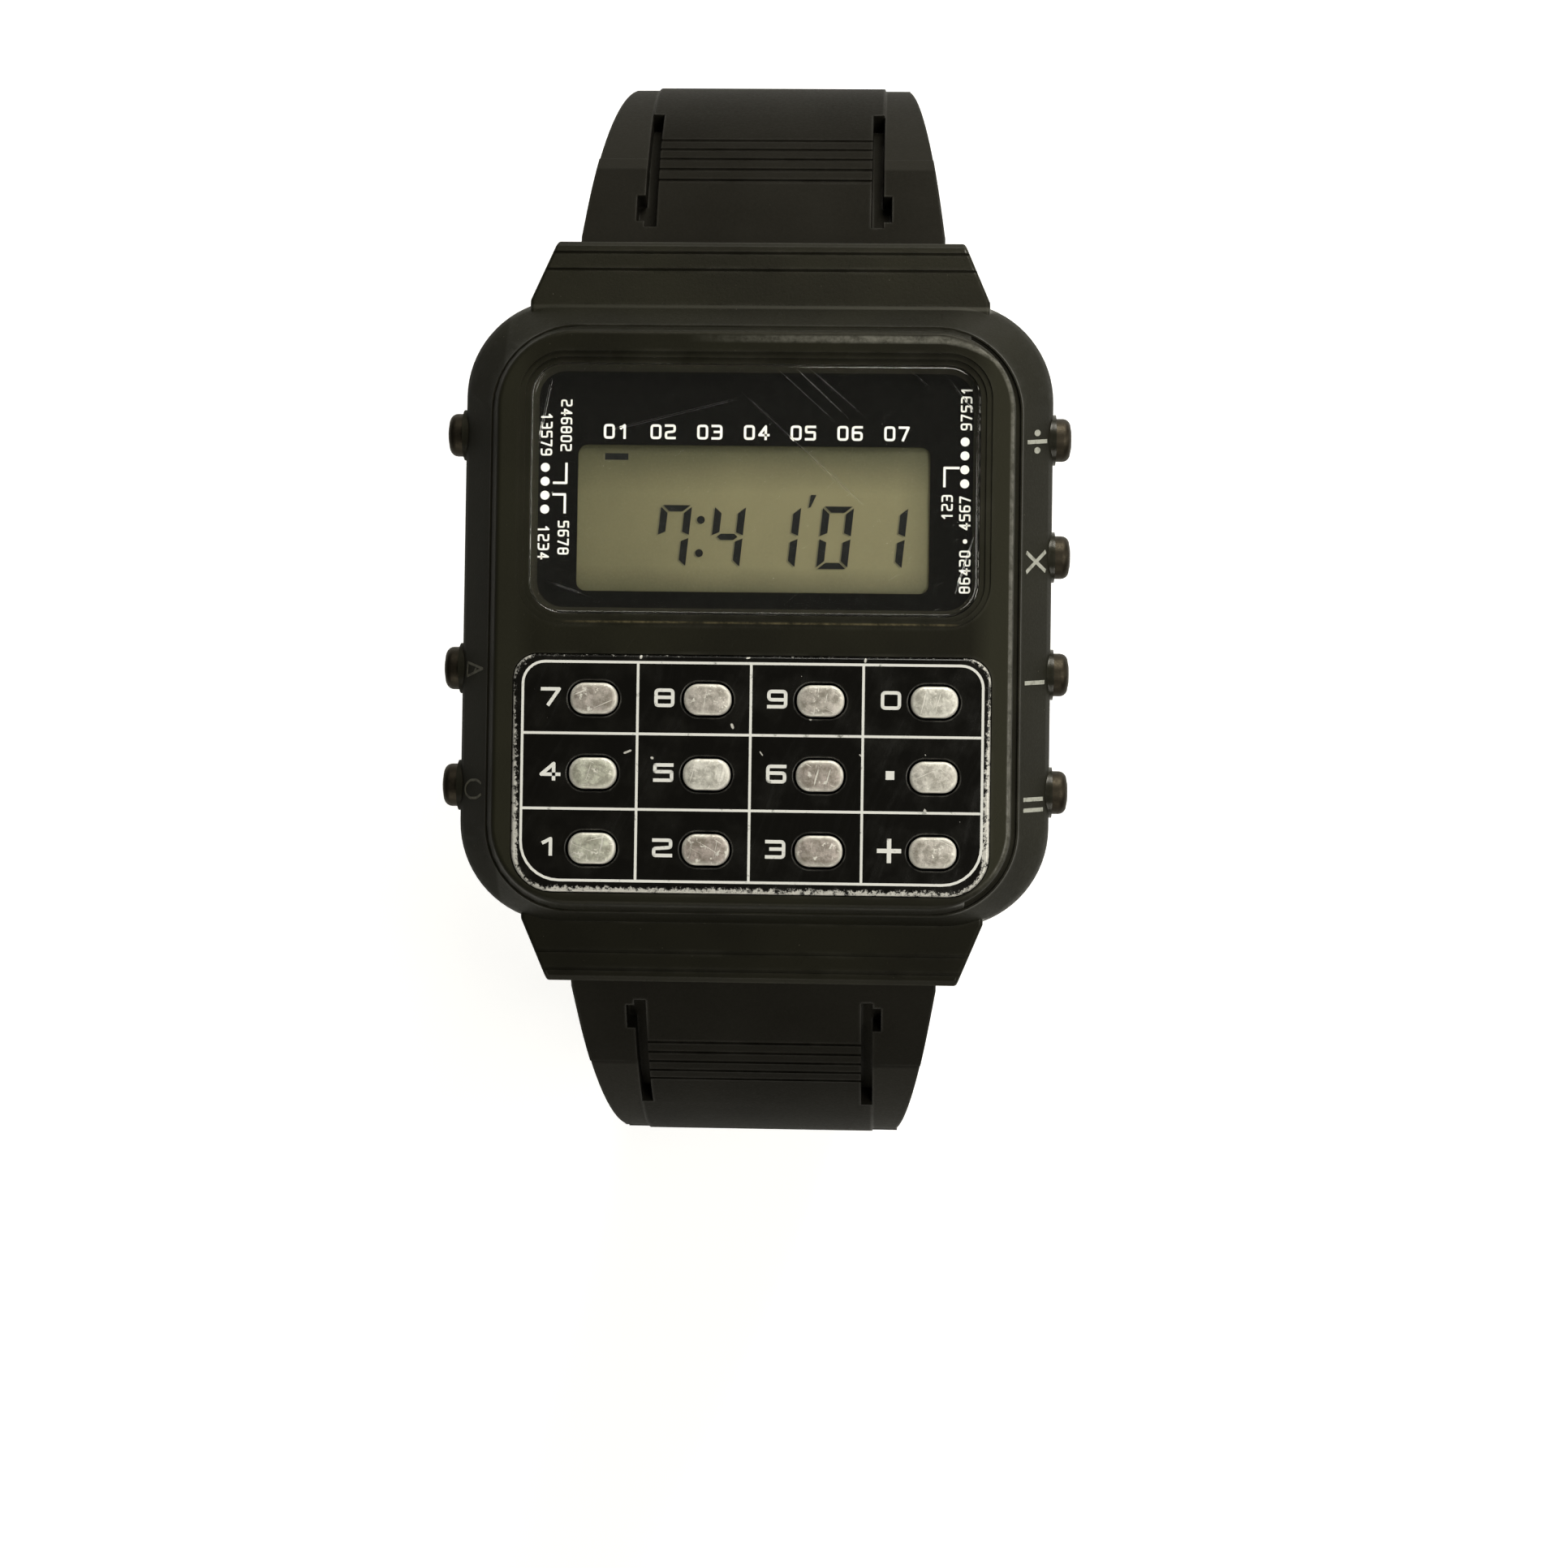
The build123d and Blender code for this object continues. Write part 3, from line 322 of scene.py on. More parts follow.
displayShade = {
    "left": (-10.6, -1.0, 0.6, 1.0), "right": (10.4, 8.2, 0.5, 1.0), "top": (9.5, 6.6, 0.0, 1.0),
    "bottom": (0.8, 2.4, 0.3, 1.0), "cloud": (5.0, 3, 0.6, 0.3, 0.7, -0.06, 0.06),
    "grain": (0.12, 1, 0.6, 0.3, 0.7, -0.05, 0.05), "dark": tone(62, 62, 43), "light": tone(112, 108, 80),
}


def displayLook():
    # reflective liquid crystal cell: grey green, with painted shade towards its edges and a painted shadow of the
    # mask along the top
    d = displayShade
    look = Look("displayCell", {"Roughness": 0.55, "Specular IOR Level": 0.2})
    place = look.place()
    x, y, _ = look.axes(place)
    sides = look.times(look.span(x, *d["left"]), look.span(x, *d["right"]))
    ends = look.times(look.span(y, *d["top"]), look.span(y, *d["bottom"]))
    light = look.sum(look.times(sides, ends), look.patch(place, *d["cloud"]), look.patch(place, *d["grain"]))
    look.set(colour=look.mix(light, d["dark"], d["light"]))


lacquerWear = {
    "outline": (27.6, 13.75, 2.0, (0, -9.8)), "low": (-4.6, -15.0), "lowShare": 0.34,
    "sideX": (11.8, 13.2), "sideY": (-3.4, -5.6), "sideShare": 0.16, "least": 0.08,
    "ragged": (0.3, 5, 0.85), "raggedShare": 1.3, "line": (0.03, -0.05), "inner": (0.46, 0.38),
    "gaps": (0.5, 4, 0.8, 0.38, 0.46), "chips": (0.75, 3, 0.7, 0.735, 0.745), "chipFade": 0.06,
    "chipEdge": (0.15, 0.4),
    "chipLines": (
        ((-1.12, -6.86), (-1.02, -7.12), 0.1), ((-7.3, -8.62), (-6.9, -8.46), 0.08),
        ((-5.74, -8.85), (-5.62, -8.91), 0.1), ((3.38, -6.51), (3.48, -6.57), 0.1),
        ((0.55, -8.45), (0.7, -8.65), 0.05), ((6.3, -8.55), (6.5, -8.7), 0.06),
        ((-6.42, -3.14), (-6.38, -2.96), 0.1), ((-0.3, -3.06), (-0.1, -3.03), 0.06),
        ((6.54, -3.22), (6.58, -3.02), 0.09),
    ),
    "holeEdge": (0.16, 0.03, 0.14), "holePatch": (1.1, 3, 0.6, 0.42, 0.6, 0.08, 0.38),
    "haze": (2.2, 4, 0.6, 0.45, 0.75, 0, 0.6), "black": (tone(13, 12, 9), tone(25, 24, 19)),
    "smear": (0.3, 20, 0.5, 0.8, 2.5), "smearShare": 0.35, "rough": (0, 1.4, 0.18, 0.5), "bareRough": 0.25,
    "bareMetal": 0.35, "bare": (tone(250, 248, 240), tone(180, 178, 168)), "bareDepth": -1.2, "relief": 0.006,
}


def lacquerLook():
    # black lacquer over metal: rubbed bare round the rim, most at the bottom, and chipped beside the keys
    w = lacquerWear
    look = Look("keypadLacquer", {"Specular IOR Level": 0.4, "Coat Weight": 0.15, "Coat Roughness": 0.15})
    place = look.place()
    x, y, _ = look.axes(place)
    inside = look.rim(place, *w["outline"])
    sides = look.times(look.span(look.size(x), *w["sideX"]), look.span(y, *w["sideY"]), w["sideShare"])
    bareness = look.less(look.sum(look.times(look.span(y, *w["low"]), w["lowShare"]), sides), w["least"])
    reach = look.times(look.less(look.noise(place, *w["ragged"]), 0.5), w["raggedShare"])
    line = look.span(look.less(look.sum(inside, reach), bareness), *w["line"])
    brightLine = look.times(line, look.span(inside, *w["inner"]), look.patch(place, *w["gaps"]))
    bare = look.most(brightLine, look.patch(place, *w["chips"]))
    for chip in w["chipLines"]:
        bare = look.most(bare, look.span(look.scratch(place, *chip, w["chipFade"]), *w["chipEdge"]))
    bare = look.most(bare, look.times(look.edges(*w["holeEdge"]), look.patch(place, *w["holePatch"])))
    haze = look.patch(place, *w["haze"])
    smear = look.times(look.streaks(*w["smear"]), w["smearShare"])
    rough = look.sum(look.span(look.sum(smear, haze), *w["rough"]), look.times(bare, w["bareRough"]))
    height = look.sum(look.noise(place, 0.12, 2), look.times(bare, w["bareDepth"]))
    metal = look.mix(look.noise(place, 0.16, 3), *w["bare"])
    look.set(
        colour=look.mix(bare, look.mix(haze, *w["black"]), metal), metal=look.times(bare, w["bareMetal"]),
        rough=rough, normal=look.bump(height, w["relief"]),
    )


keyWearAndHighlights = {
    "grey": tone(196, 184, 176), "green": tone(204, 210, 182), "bright": tone(255, 253, 242),
    "mottle": (0.5, 4, 0.7, 0.4, 0.6), "mottleShare": 0.66, "mottleColour": tone(120, 112, 100),
    "stain": (0.9, 3, 0.7, 0.42, 0.62), "stainShare": 0.4, "stainColour": tone(112, 108, 88),
    "cuts": ((0.12, 12, 0.66, 0.69, 1.6), (0.1, -64, 0.68, 0.71, 1.6), (0.16, 71, 0.7, 0.73, 1.6)),
    "glint": (0.42, 3, 0.65, 0.6, 0.66), "glintShare": 0.85, "glintColour": tone(255, 252, 242),
    "rimHighlightLevel": (9.465, 9.41), "rimHighlightPatch": (0.9, 2, 0.6, 0.35, 0.6, 0.4, 1.0), "rimHighlightColour": tone(255, 252, 240),
    "rough": (0, 1.6, 0.32, 0.55), "pits": (0.14, 4, 0.8), "cutDepth": 0.8, "relief": 0.028,
}


def keyLook():
    # satin silver, dulled, stained and scuffed by fingers, each key a little different, with painted glints and a
    # painted highlight round the top edge
    w = keyWearAndHighlights
    look = Look("satinKeys", {"Metallic": 0.4, "Specular IOR Level": 0.4})
    place = look.place()
    shade = look.node("Attribute", {}, attribute_name="shade").outputs["Fac"]
    green = look.node("Attribute", {}, attribute_name="green").outputs["Fac"]
    colour = look.mix(shade, look.mix(green, w["grey"], w["green"]), w["bright"])
    dulled = look.less(1.15, look.times(shade, 0.5))  # a bright key is less mottled
    mottle = look.times(look.patch(place, *w["mottle"]), dulled)
    colour = look.mix(look.times(mottle, w["mottleShare"]), colour, w["mottleColour"])
    colour = look.mix(look.times(look.patch(place, *w["stain"]), w["stainShare"]), colour, w["stainColour"])
    marks = look.most(*[look.streaks(*cut) for cut in w["cuts"]])
    # painted highlights: glints on the scratches and in patches, and a bright rim round the top of each cap
    glint = look.times(look.most(marks, look.patch(place, *w["glint"])), w["glintShare"])
    edge = look.times(look.span(look.axes(place)[2], *w["rimHighlightLevel"]), look.patch(place, *w["rimHighlightPatch"]))
    colour = look.mix(glint, look.mix(edge, colour, w["rimHighlightColour"]), w["glintColour"])
    height = look.less(look.noise(place, *w["pits"]), look.times(marks, w["cutDepth"]))
    rough = look.span(look.sum(mottle, marks), *w["rough"])
    look.set(colour=colour, rough=rough, normal=look.bump(height, w["relief"]))


grainRelief = 0.004
metalGrain = {"patch": (3.0, 3, 0.6, 0.35, 0.7), "dark": 0.72, "rough": (-0.06, 0.1)}
plainGrain = {"patch": (2, 0.6, 0.35, 0.65), "patchSize": 12, "dark": 0.7, "rough": (-0.05, 0.08)}
printGrain = {"patch": (0.55, 4, 0.7), "rough": (0.1, 2, 0.6, 0.3, 0.7, 0.45, 0.6)}


def grainyLook(look, line, share, colour, rough, grain):
    # a colour with darker patches, and a fine grain in its gloss and relief
    look.set(
        colour=look.mix(share, colour, tuple(grain["dark"] * c for c in colour)),
        rough=look.span(line, 0.3, 0.7, *[rough + more for more in grain["rough"]]),
        normal=look.bump(line, grainRelief),
    )


def metalLook(name, colour, rough, brush=(1, 1, 1), size=0.12):
    # brushed or plain metal, with its grain drawn out where brush is small
    look = Look(name, {"Metallic": 1.0})
    line = look.noise(look.place(brush), size)
    share = look.times(line, look.patch(look.place(), *metalGrain["patch"]))
    grainyLook(look, line, share, colour, rough, metalGrain)


def plainLook(name, colour, rough, grain=0.3):
    # moulded or painted surfaces with a little variation
    look = Look(name, {})
    share = look.patch(look.place(), grain * plainGrain["patchSize"], *plainGrain["patch"])
    grainyLook(look, look.noise(look.place(), grain), share, colour, rough, plainGrain)


def printLook(name, colour, worn, wornFrom, wornTo, shine=0.3):
    # screen print: opaque, rubbed thin in patches
    look = Look(name, {"Specular IOR Level": shine})
    patch = look.patch(look.place(), *printGrain["patch"], wornFrom, wornTo)
    look.set(colour=look.mix(patch, colour, worn), rough=look.patch(look.place(), *printGrain["rough"]))


glassLook()
displayLook()
lacquerLook()
keyLook()
printLook("dialBlack", tone(11, 11, 9), tone(14, 14, 12), 0.4, 0.6, 0.03)
printLook("dialWhite", tone(240, 240, 234), tone(160, 159, 150), 0.66, 0.8)
printLook("keypadWhite", tone(240, 240, 234), tone(120, 120, 113), 0.6, 0.74)
printLook("sideMark", tone(176, 177, 166), tone(104, 104, 94), 0.5, 0.7)
printLook("faintMark", tone(96, 94, 80), tone(52, 51, 41), 0.42, 0.66)
printLook("segmentInk", tone(25, 26, 25), tone(20, 21, 21), 0.4, 0.6, 0.1)
printLook("segmentShade", tone(92, 90, 70), tone(88, 86, 66), 0.4, 0.6, 0.1)
metalLook("buttonMetal", tone(62, 57, 48), 0.46, (1, 1, 0.05))
metalLook("brightSteel", tone(196, 195, 190), 0.24)
metalLook("brushedCover", tone(186, 186, 182), 0.32, (1, 0.02, 1), 0.06)
metalLook("buckleSteel", tone(190, 189, 185), 0.26, (0.03, 1, 1), 0.07)
metalLook("brassParts", tone(190, 150, 84), 0.34)
plainLook("softRubber", tone(38, 38, 36), 0.75, 0.2)
plainLook("modulePlastic", tone(196, 190, 172), 0.5)
plainLook("boardLaminate", tone(46, 92, 54), 0.45)
plainLook("chipPlastic", tone(28, 28, 30), 0.55)
plainLook("lampGlass", tone(224, 214, 182), 0.15)
print("materials ready")


# Mesh helpers
def meshFrom(bm, name):
    mesh = bpy.data.meshes.new(name)
    bm.to_mesh(mesh)
    bm.free()
    return mesh


def putInScene(name, data):
    item = bpy.data.objects.new(name, data)
    bpy.context.scene.collection.objects.link(item)
    return item


def finishPiece(bm, name, look, body, node=None, keep=32):
    # merges, smooths up to an angle, scales to metres, and hangs the piece on its body
    bmesh.ops.remove_doubles(bm, verts=bm.verts, dist=0.0004)
    bmesh.ops.recalc_face_normals(bm, faces=bm.faces)
    for face in bm.faces:
        face.smooth = True
    for edge in bm.edges:
        edge.smooth = len(edge.link_faces) == 2 and edge.calc_face_angle(0) < radians(keep)
    bmesh.ops.scale(bm, vec=(mm, mm, mm), verts=bm.verts)
    piece = putInScene(name, meshFrom(bm, name))
    piece.data.materials.append(bpy.data.materials[look])
    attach(piece, body)
    if node:
        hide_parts(node)
    return piece


def paint(piece, name, value):
    # one number for the whole piece, which its material reads
    points = piece.data.attributes.new(name, "FLOAT", "POINT").data
    points.foreach_set("value", [value] * len(points))


def roundedFace(bm, width, length, corner, height, middle, steps=8):
    # one flat face with round corners; corner may be a pair, for the upper and the lower corners
    made = bmesh.ops.create_grid(bm, x_segments=1, y_segments=1, size=0.5)["verts"]
    bmesh.ops.scale(bm, vec=(width, length, 1), verts=made)
    bmesh.ops.translate(bm, vec=(*middle, height), verts=made)
    face = made[0].link_faces[0]
    pair = corner if isinstance(corner, tuple) else (corner, corner)
    upper = [v for v in made if v.co.y > middle[1]]
    lower = [v for v in made if v.co.y <= middle[1]]
    known = set(bm.faces) - {face}
    for verts, radius in ((upper, pair[0]), (lower, pair[1])):
        bmesh.ops.bevel(
            bm, geom=verts, affect="VERTICES", offset=radius, segments=steps, profile=0.5, material=-1
        )
    return next(f for f in bm.faces if f not in known)


def stackFaces(bm, outlines, steps=8):
    # a closed body through rounded outlines, each (width, length, corner, height, middle)
    faces = [roundedFace(bm, *outline, steps=steps) for outline in outlines]
    bridge(bm, faces, faces[1:])
    bmesh.ops.delete(bm, geom=faces[1:-1], context="FACES_ONLY")


def bridge(bm, lowers, uppers):
    for lower, upper in zip(lowers, uppers):
        bmesh.ops.bridge_loops(bm, edges=list(lower.edges) + list(upper.edges))


def softTop(settings, middle, crown=0.0, rounds=4):
    # outlines of a plate with a quarter-round upper edge and, with crown, two rings more on a slight dome
    names = ("width", "length", "corner", "low", "high", "edge")
    width, length, corner, low, high, radius = [settings[name] for name in names]
    steps = [(0, low)]
    for number in range(rounds + 1):
        turn = pi / 2 * number / rounds
        steps.append((radius * (1 - cos(turn)), high - crown - radius * (1 - sin(turn))))
    for share in (0.35, 0.7) if crown else ():
        steps.append((radius + share * corner * 0.6, high - crown * (1 - share) ** 2))
    return [(*shrink(width, length, corner, inset), level, middle) for inset, level in steps]


def shrink(width, length, corner, inset):
    least = 0.02
    pair = isinstance(corner, tuple)
    corner = tuple(max(c - inset, least) for c in corner) if pair else max(corner - inset, least)
    return width - 2 * inset, length - 2 * inset, corner


def frameBand(bm, outline, line, low, high):
    # a closed flat band that runs round an outline (width, length, corner, middle)
    face = roundedFace(bm, *outline[:3], low, outline[3])
    rim = bmesh.ops.inset_region(
        bm, faces=[face], thickness=line, use_boundary=True, use_even_offset=True
    )["faces"]
    bmesh.ops.delete(bm, geom=[face], context="FACES_ONLY")
    thicken(bm, rim, high - low)


def thicken(bm, faces, rise):
    # a solid on flat faces, which stay as its bottom
    grown = bmesh.ops.extrude_face_region(bm, geom=faces, use_keep_orig=True)["geom"]
    raised = [item for item in grown if isinstance(item, bmesh.types.BMVert)]
    bmesh.ops.translate(bm, vec=(0, 0, rise), verts=raised)


unturned = Matrix.Identity(4)


def bar(bm, start, end, width, low, high, place=unturned):
    # a thin straight print from one point to another
    dx, dy = end[0] - start[0], end[1] - start[1]
    middle = ((start[0] + end[0]) / 2, (start[1] + end[1]) / 2, (low + high) / 2)
    size = Matrix.Diagonal((hypot(dx, dy), width, high - low, 1))
    turn = Matrix.Rotation(atan2(dy, dx), 4, "Z")
    bmesh.ops.create_cube(bm, size=1, matrix=place @ Matrix.Translation(middle) @ turn @ size)


def dot(bm, centre, radius, low, high, place=unturned, sides=20):
    spot = place @ Matrix.Translation((centre[0], centre[1], (low + high) / 2))
    bmesh.ops.create_cone(
        bm, cap_ends=True, segments=sides, radius1=radius, radius2=radius, depth=high - low, matrix=spot
    )


# Plain numbers and signs as strokes in a box one unit wide and high; the last two are the open ring and
# the pointer beside the left buttons
glyphStrokes = {
    "0": [[(0, 0), (1, 0), (1, 1), (0, 1), (0, 0)]],
    "1": [[(0.2, 0.76), (0.62, 1), (0.62, 0)]],
    "2": [[(0, 1), (1, 1), (1, 0.53), (0, 0.45), (0, 0), (1, 0)]],
    "3": [[(0, 1), (1, 1), (1, 0), (0, 0)], [(0.25, 0.52), (1, 0.52)]],
    "4": [[(0.74, 0), (0.74, 1), (0, 0.3), (1.05, 0.3)]],
    "5": [[(1, 1), (0, 1), (0, 0.56), (1, 0.56), (1, 0), (0, 0)]],
    "6": [[(1, 1), (0, 1), (0, 0), (1, 0), (1, 0.56), (0, 0.56)]],
    "7": [[(0, 1), (1, 1), (0.38, 0)]],
    "8": [[(0, 0), (1, 0), (1, 1), (0, 1), (0, 0)], [(0, 0.53), (1, 0.53)]],
    "9": [[(0, 0), (1, 0), (1, 1), (0, 1), (0, 0.46), (1, 0.46)]],
    "+": [[(0.5, 0), (0.5, 1)], [(0, 0.5), (1, 0.5)]],
    "-": [[(0, 0.5), (1, 0.5)]],
    "=": [[(0, 0.2), (1, 0.2)], [(0, 0.8), (1, 0.8)]],
    "x": [[(0, 0), (1, 1)], [(0, 1), (1, 0)]],
    "ring": [[(1, 0.8), (0.75, 0.97), (0.3, 0.97), (0, 0.7), (0, 0.3), (0.3, 0.03), (0.75, 0.03), (1, 0.2)]],
    "pointer": [[(0, 0.12), (0.04, 0.84), (1, 0.44), (0, 0.12)], [(0.45, 0.32), (0.56, 0.46)]],
}
glyphRounding = {"1": 0, "4": 0, "7": 0, "pointer": 0, "x": 0, "5": 0.08, "2": 0.14}  # the others have 0.2


def roundPath(points, radius, steps=4):
    # a path with each corner drawn as a short curve
    closed = points[0] == points[-1]
    spots = [Vector(point) for point in points]
    ring = spots[:-1] if closed else spots
    path = []
    for number, spot in enumerate(ring):
        if not closed and number in (0, len(ring) - 1):
            path.append(spot)
            continue
        before, after = ring[number - 1], ring[(number + 1) % len(ring)]
        reach = min(radius, (before - spot).length / 2, (after - spot).length / 2)
        start, end = [spot + (other - spot).normalized() * reach for other in (before, after)]
        for step in range(steps + 1):
            share = step / steps
            path.append(start.lerp(spot, share).lerp(spot.lerp(end, share), share))
    if closed:
        path.append(path[0])
    return path


layer = 0.0015  # prints that cross lie this much above each other


def stroke(bm, points, line, low, high, place=unturned, radius=0.0):
    # a printed line of even width along a path, round at its joints and square at its ends
    path = roundPath(points, radius) if radius else [Vector(point) for point in points]
    closed = points[0] == points[-1]
    for tip, inner in () if closed else ((0, 1), (-1, -2)):
        path[tip] = path[tip] + (path[tip] - path[inner]).normalized() * line / 2
    for number, (start, end) in enumerate(zip(path, path[1:])):
        bar(bm, start, end, line, low, high - layer * (number % 2), place)
    for joint in path[1:] if closed else path[1:-1]:
        dot(bm, joint, line / 2, low, high - 2 * layer, place, 12)


def glyph(bm, sign, centre, size, line, low, high, place=unturned):
    width, height = size[0] - line, size[1] - line
    for number, path in enumerate(glyphStrokes[sign]):
        points = [(centre[0] + (x - 0.5) * width, centre[1] + (y - 0.5) * height) for x, y in path]
        top = high - 3 * layer * number
        stroke(bm, points, line, low, top, place, glyphRounding.get(sign, 0.2) * height)


numberPitch = 1.3  # from one number to the next, in widths of a number


def numberRow(bm, text, centre, size, line, low, high, turn=0):
    # numbers side by side, the whole row turned about its centre
    place = Matrix.Translation((*centre, 0)) @ Matrix.Rotation(radians(turn), 4, "Z")
    for number, sign in enumerate(text):
        x = (number - (len(text) - 1) / 2) * size[0] * numberPitch
        glyph(bm, sign, (x, 0), size, line, low, high, place)


# Pieces that keep their CAD shape: a merged copy with soft edges
copySettings = {"join": 0.002, "flat": 0.6, "smooth": 34}


def softCopy(node, name, look, slot, width, rounds):
    bm = bmesh.new()
    bm.from_mesh(nodes[node].data)
    bmesh.ops.remove_doubles(bm, verts=bm.verts, dist=copySettings["join"] * mm)
    bmesh.ops.dissolve_limit(
        bm, angle_limit=radians(copySettings["flat"]), verts=bm.verts, edges=bm.edges,
        use_dissolve_boundaries=False,
    )
    bmesh.ops.scale(bm, vec=(1 / mm,) * 3, verts=bm.verts)
    piece = finishPiece(bm, name, look, nodes[node]["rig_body"], node, copySettings["smooth"])
    soften(piece, width, rounds)


def soften(piece, width, rounds, corner=40):
    edge = piece.modifiers.new("softEdges", "BEVEL")
    edge.width = width * mm
    edge.segments = rounds
    edge.limit_method = "ANGLE"
    edge.angle_limit = radians(corner)
    edge.harden_normals = True
    weigh = piece.modifiers.new("flatFaces", "WEIGHTED_NORMAL")
    weigh.keep_sharp = True
    weigh.weight = 80


# Case
caseSettings = {"edge": 0.07, "rounds": 2}
softCopy("case_shell", "caseBody", "caseResin", "case_resin", caseSettings["edge"], caseSettings["rounds"])

# The groove round the raised top is filled except on the right, where it shows
fillSettings = {
    "width": 30.8, "length": 34.1, "corner": 4.95, "middle": (0, -0.7), "line": 0.37, "low": 7.68, "high": 7.9,
    "slope": 0.8,
}
f = fillSettings


def outsideFill(place):
    # whether a point lies on the fill's outer outline
    x = abs(place.x - f["middle"][0]) - f["width"] / 2 + f["corner"]
    y = abs(place.y - f["middle"][1]) - f["length"] / 2 + f["corner"]
    return hypot(max(x, 0), max(y, 0)) > f["corner"] - f["line"] / 2


bm = bmesh.new()
frameBand(bm, (f["width"], f["length"], f["corner"], f["middle"]), f["line"], f["low"], f["high"])
raised = [v for v in bm.verts if v.co.z > f["high"] - 0.01 and not outsideFill(v.co)]
bmesh.ops.translate(bm, vec=(0, 0, f["slope"]), verts=raised)
bmesh.ops.bisect_plane(
    bm, geom=bm.verts[:] + bm.edges[:] + bm.faces[:], plane_co=(f["width"] / 2 - f["corner"] * 0.6, 0, 0),
    plane_no=(1, 0, 0), clear_outer=True,
)
bmesh.ops.holes_fill(bm, edges=[edge for edge in bm.edges if edge.is_boundary], sides=4)
finishPiece(bm, "grooveFill", "caseResin", "case")
print("case ready")

# Glass over the display
glassSettings = {
    "width": 26.0, "length": 14.5, "corner": 1.9, "middle": (0, 6.75), "low": 7.93, "high": 8.95, "edge": 0.2,
}
bm = bmesh.new()
g = glassSettings
stackFaces(bm, softTop(g, g["middle"]), 12)
finishPiece(bm, "displayGlass", "scratchedGlass", "case", "display_glass")

# Printed mask under the glass
maskSettings = {
    "width": 25.2, "length": 13.7, "corner": 1.5, "middle": (0, 6.75), "low": 7.78, "high": 7.9,
    "window": (20.45, 8.5, 0.55), "windowMiddle": (-0.1, 5.1), "ink": 0.014,
}
m = maskSettings
bm = bmesh.new()
outer = (m["width"], m["length"], m["corner"])
rings = [
    (*outer, m["low"], m["middle"]), (*outer, m["high"], m["middle"]),
    (*m["window"], m["high"], m["windowMiddle"]), (*m["window"], m["low"], m["windowMiddle"]),
]
faces = [roundedFace(bm, *ring, steps=6) for ring in rings]
bridge(bm, faces, faces[1:] + faces[:1])
bmesh.ops.delete(bm, geom=faces, context="FACES_ONLY")
finishPiece(bm, "dialMask", "dialBlack", "case", "dial_mask")

# White print on the mask: a row of plain numbers, dots and brackets
dialPrintSettings = {
    "rowHeight": 10.12, "rowStart": -8.12, "rowStep": 2.715, "rowSize": (0.64, 0.86), "rowLine": 0.14,
    "dots": ((-12.22, 8.0, -0.81, 4), (12.12, 9.69, -0.81, 4), (12.18, 3.92, 0, 1)), "dotRadius": 0.26,
    "brackets": (
        ((-11.7, 7.1), (-11.0, 7.1), (-11.0, 8.2)), ((-11.72, 6.43), (-11.06, 6.43), (-11.06, 5.4)),
        ((11.75, 8.17), (10.95, 8.17), (10.95, 7.12)),
    ),
    "bracketLine": 0.14,
    "sideRows": (
        ("13579", -12.17, 9.93, -90), ("246802", -11.04, 10.45, -90), ("1234", -12.26, 3.65, -90),
        ("5678", -11.12, 3.92, -90), ("97531", 12.18, 11.6, 90), ("123", 11.12, 5.88, 90),
        ("86420", 12.18, 2.15, 90), ("4567", 12.15, 5.55, 90),
    ),
    "sideSize": (0.4, 0.66), "sideLine": 0.1,
}
d = dialPrintSettings
inkLow, inkHigh = m["high"], m["high"] + m["ink"]
bm = bmesh.new()
for number in range(7):
    spot = (d["rowStart"] + number * d["rowStep"], d["rowHeight"])
    numberRow(bm, f"0{number + 1}", spot, d["rowSize"], d["rowLine"], inkLow, inkHigh)
for x, y, step, count in d["dots"]:
    for number in range(count):
        dot(bm, (x, y + number * step), d["dotRadius"] if count > 1 else d["dotRadius"] / 2, inkLow, inkHigh)
for path in d["brackets"]:
    stroke(bm, path, d["bracketLine"], inkLow, inkHigh)
for text, x, y, turn in d["sideRows"]:
    numberRow(bm, text, (x, y), d["sideSize"], d["sideLine"], inkLow, inkHigh, turn)
finishPiece(bm, "dialPrint", "dialWhite", "case")

# Liquid crystal cell and its figures
cellSettings = {
    "width": 22.6, "length": 10.8, "corner": 0.3, "low": 6.13, "high": 7.7, "edge": 0.1, "middle": (0, 4.95),
}
c = cellSettings
bm = bmesh.new()
stackFaces(bm, softTop(c, c["middle"], rounds=2))
finishPiece(bm, "lcdCell", "displayCell", "case", "lcd_panel")

figureSettings = {
    "width": 1.8, "height": 3.62, "post": 0.42, "beam": 0.36, "gap": 0.09, "slant": 0.1, "level": 4.08,
    "places": ((-4.74, "7"), (-1.6, "4"), (1.6, "1"), (4.66, "0"), (7.8, "1")),
    "colon": ((-3.14, 5.05), (-3.22, 3.12)), "colonSize": 0.23,
    "tick": ((3.1, 5.82), (3.2, 5.82), (3.55, 6.55), (3.22, 6.55)),
    "flag": ((-8.78, 8.68), (-7.42, 8.68), 0.38), "ink": 0.012, "rise": 0.016,
    "shade": (-0.09, -0.05), "shadeRise": 0.002,
}
h = figureSettings
litBars = {"7": "abcf", "4": "bcfg", "1": "bc", "0": "abcdef"}


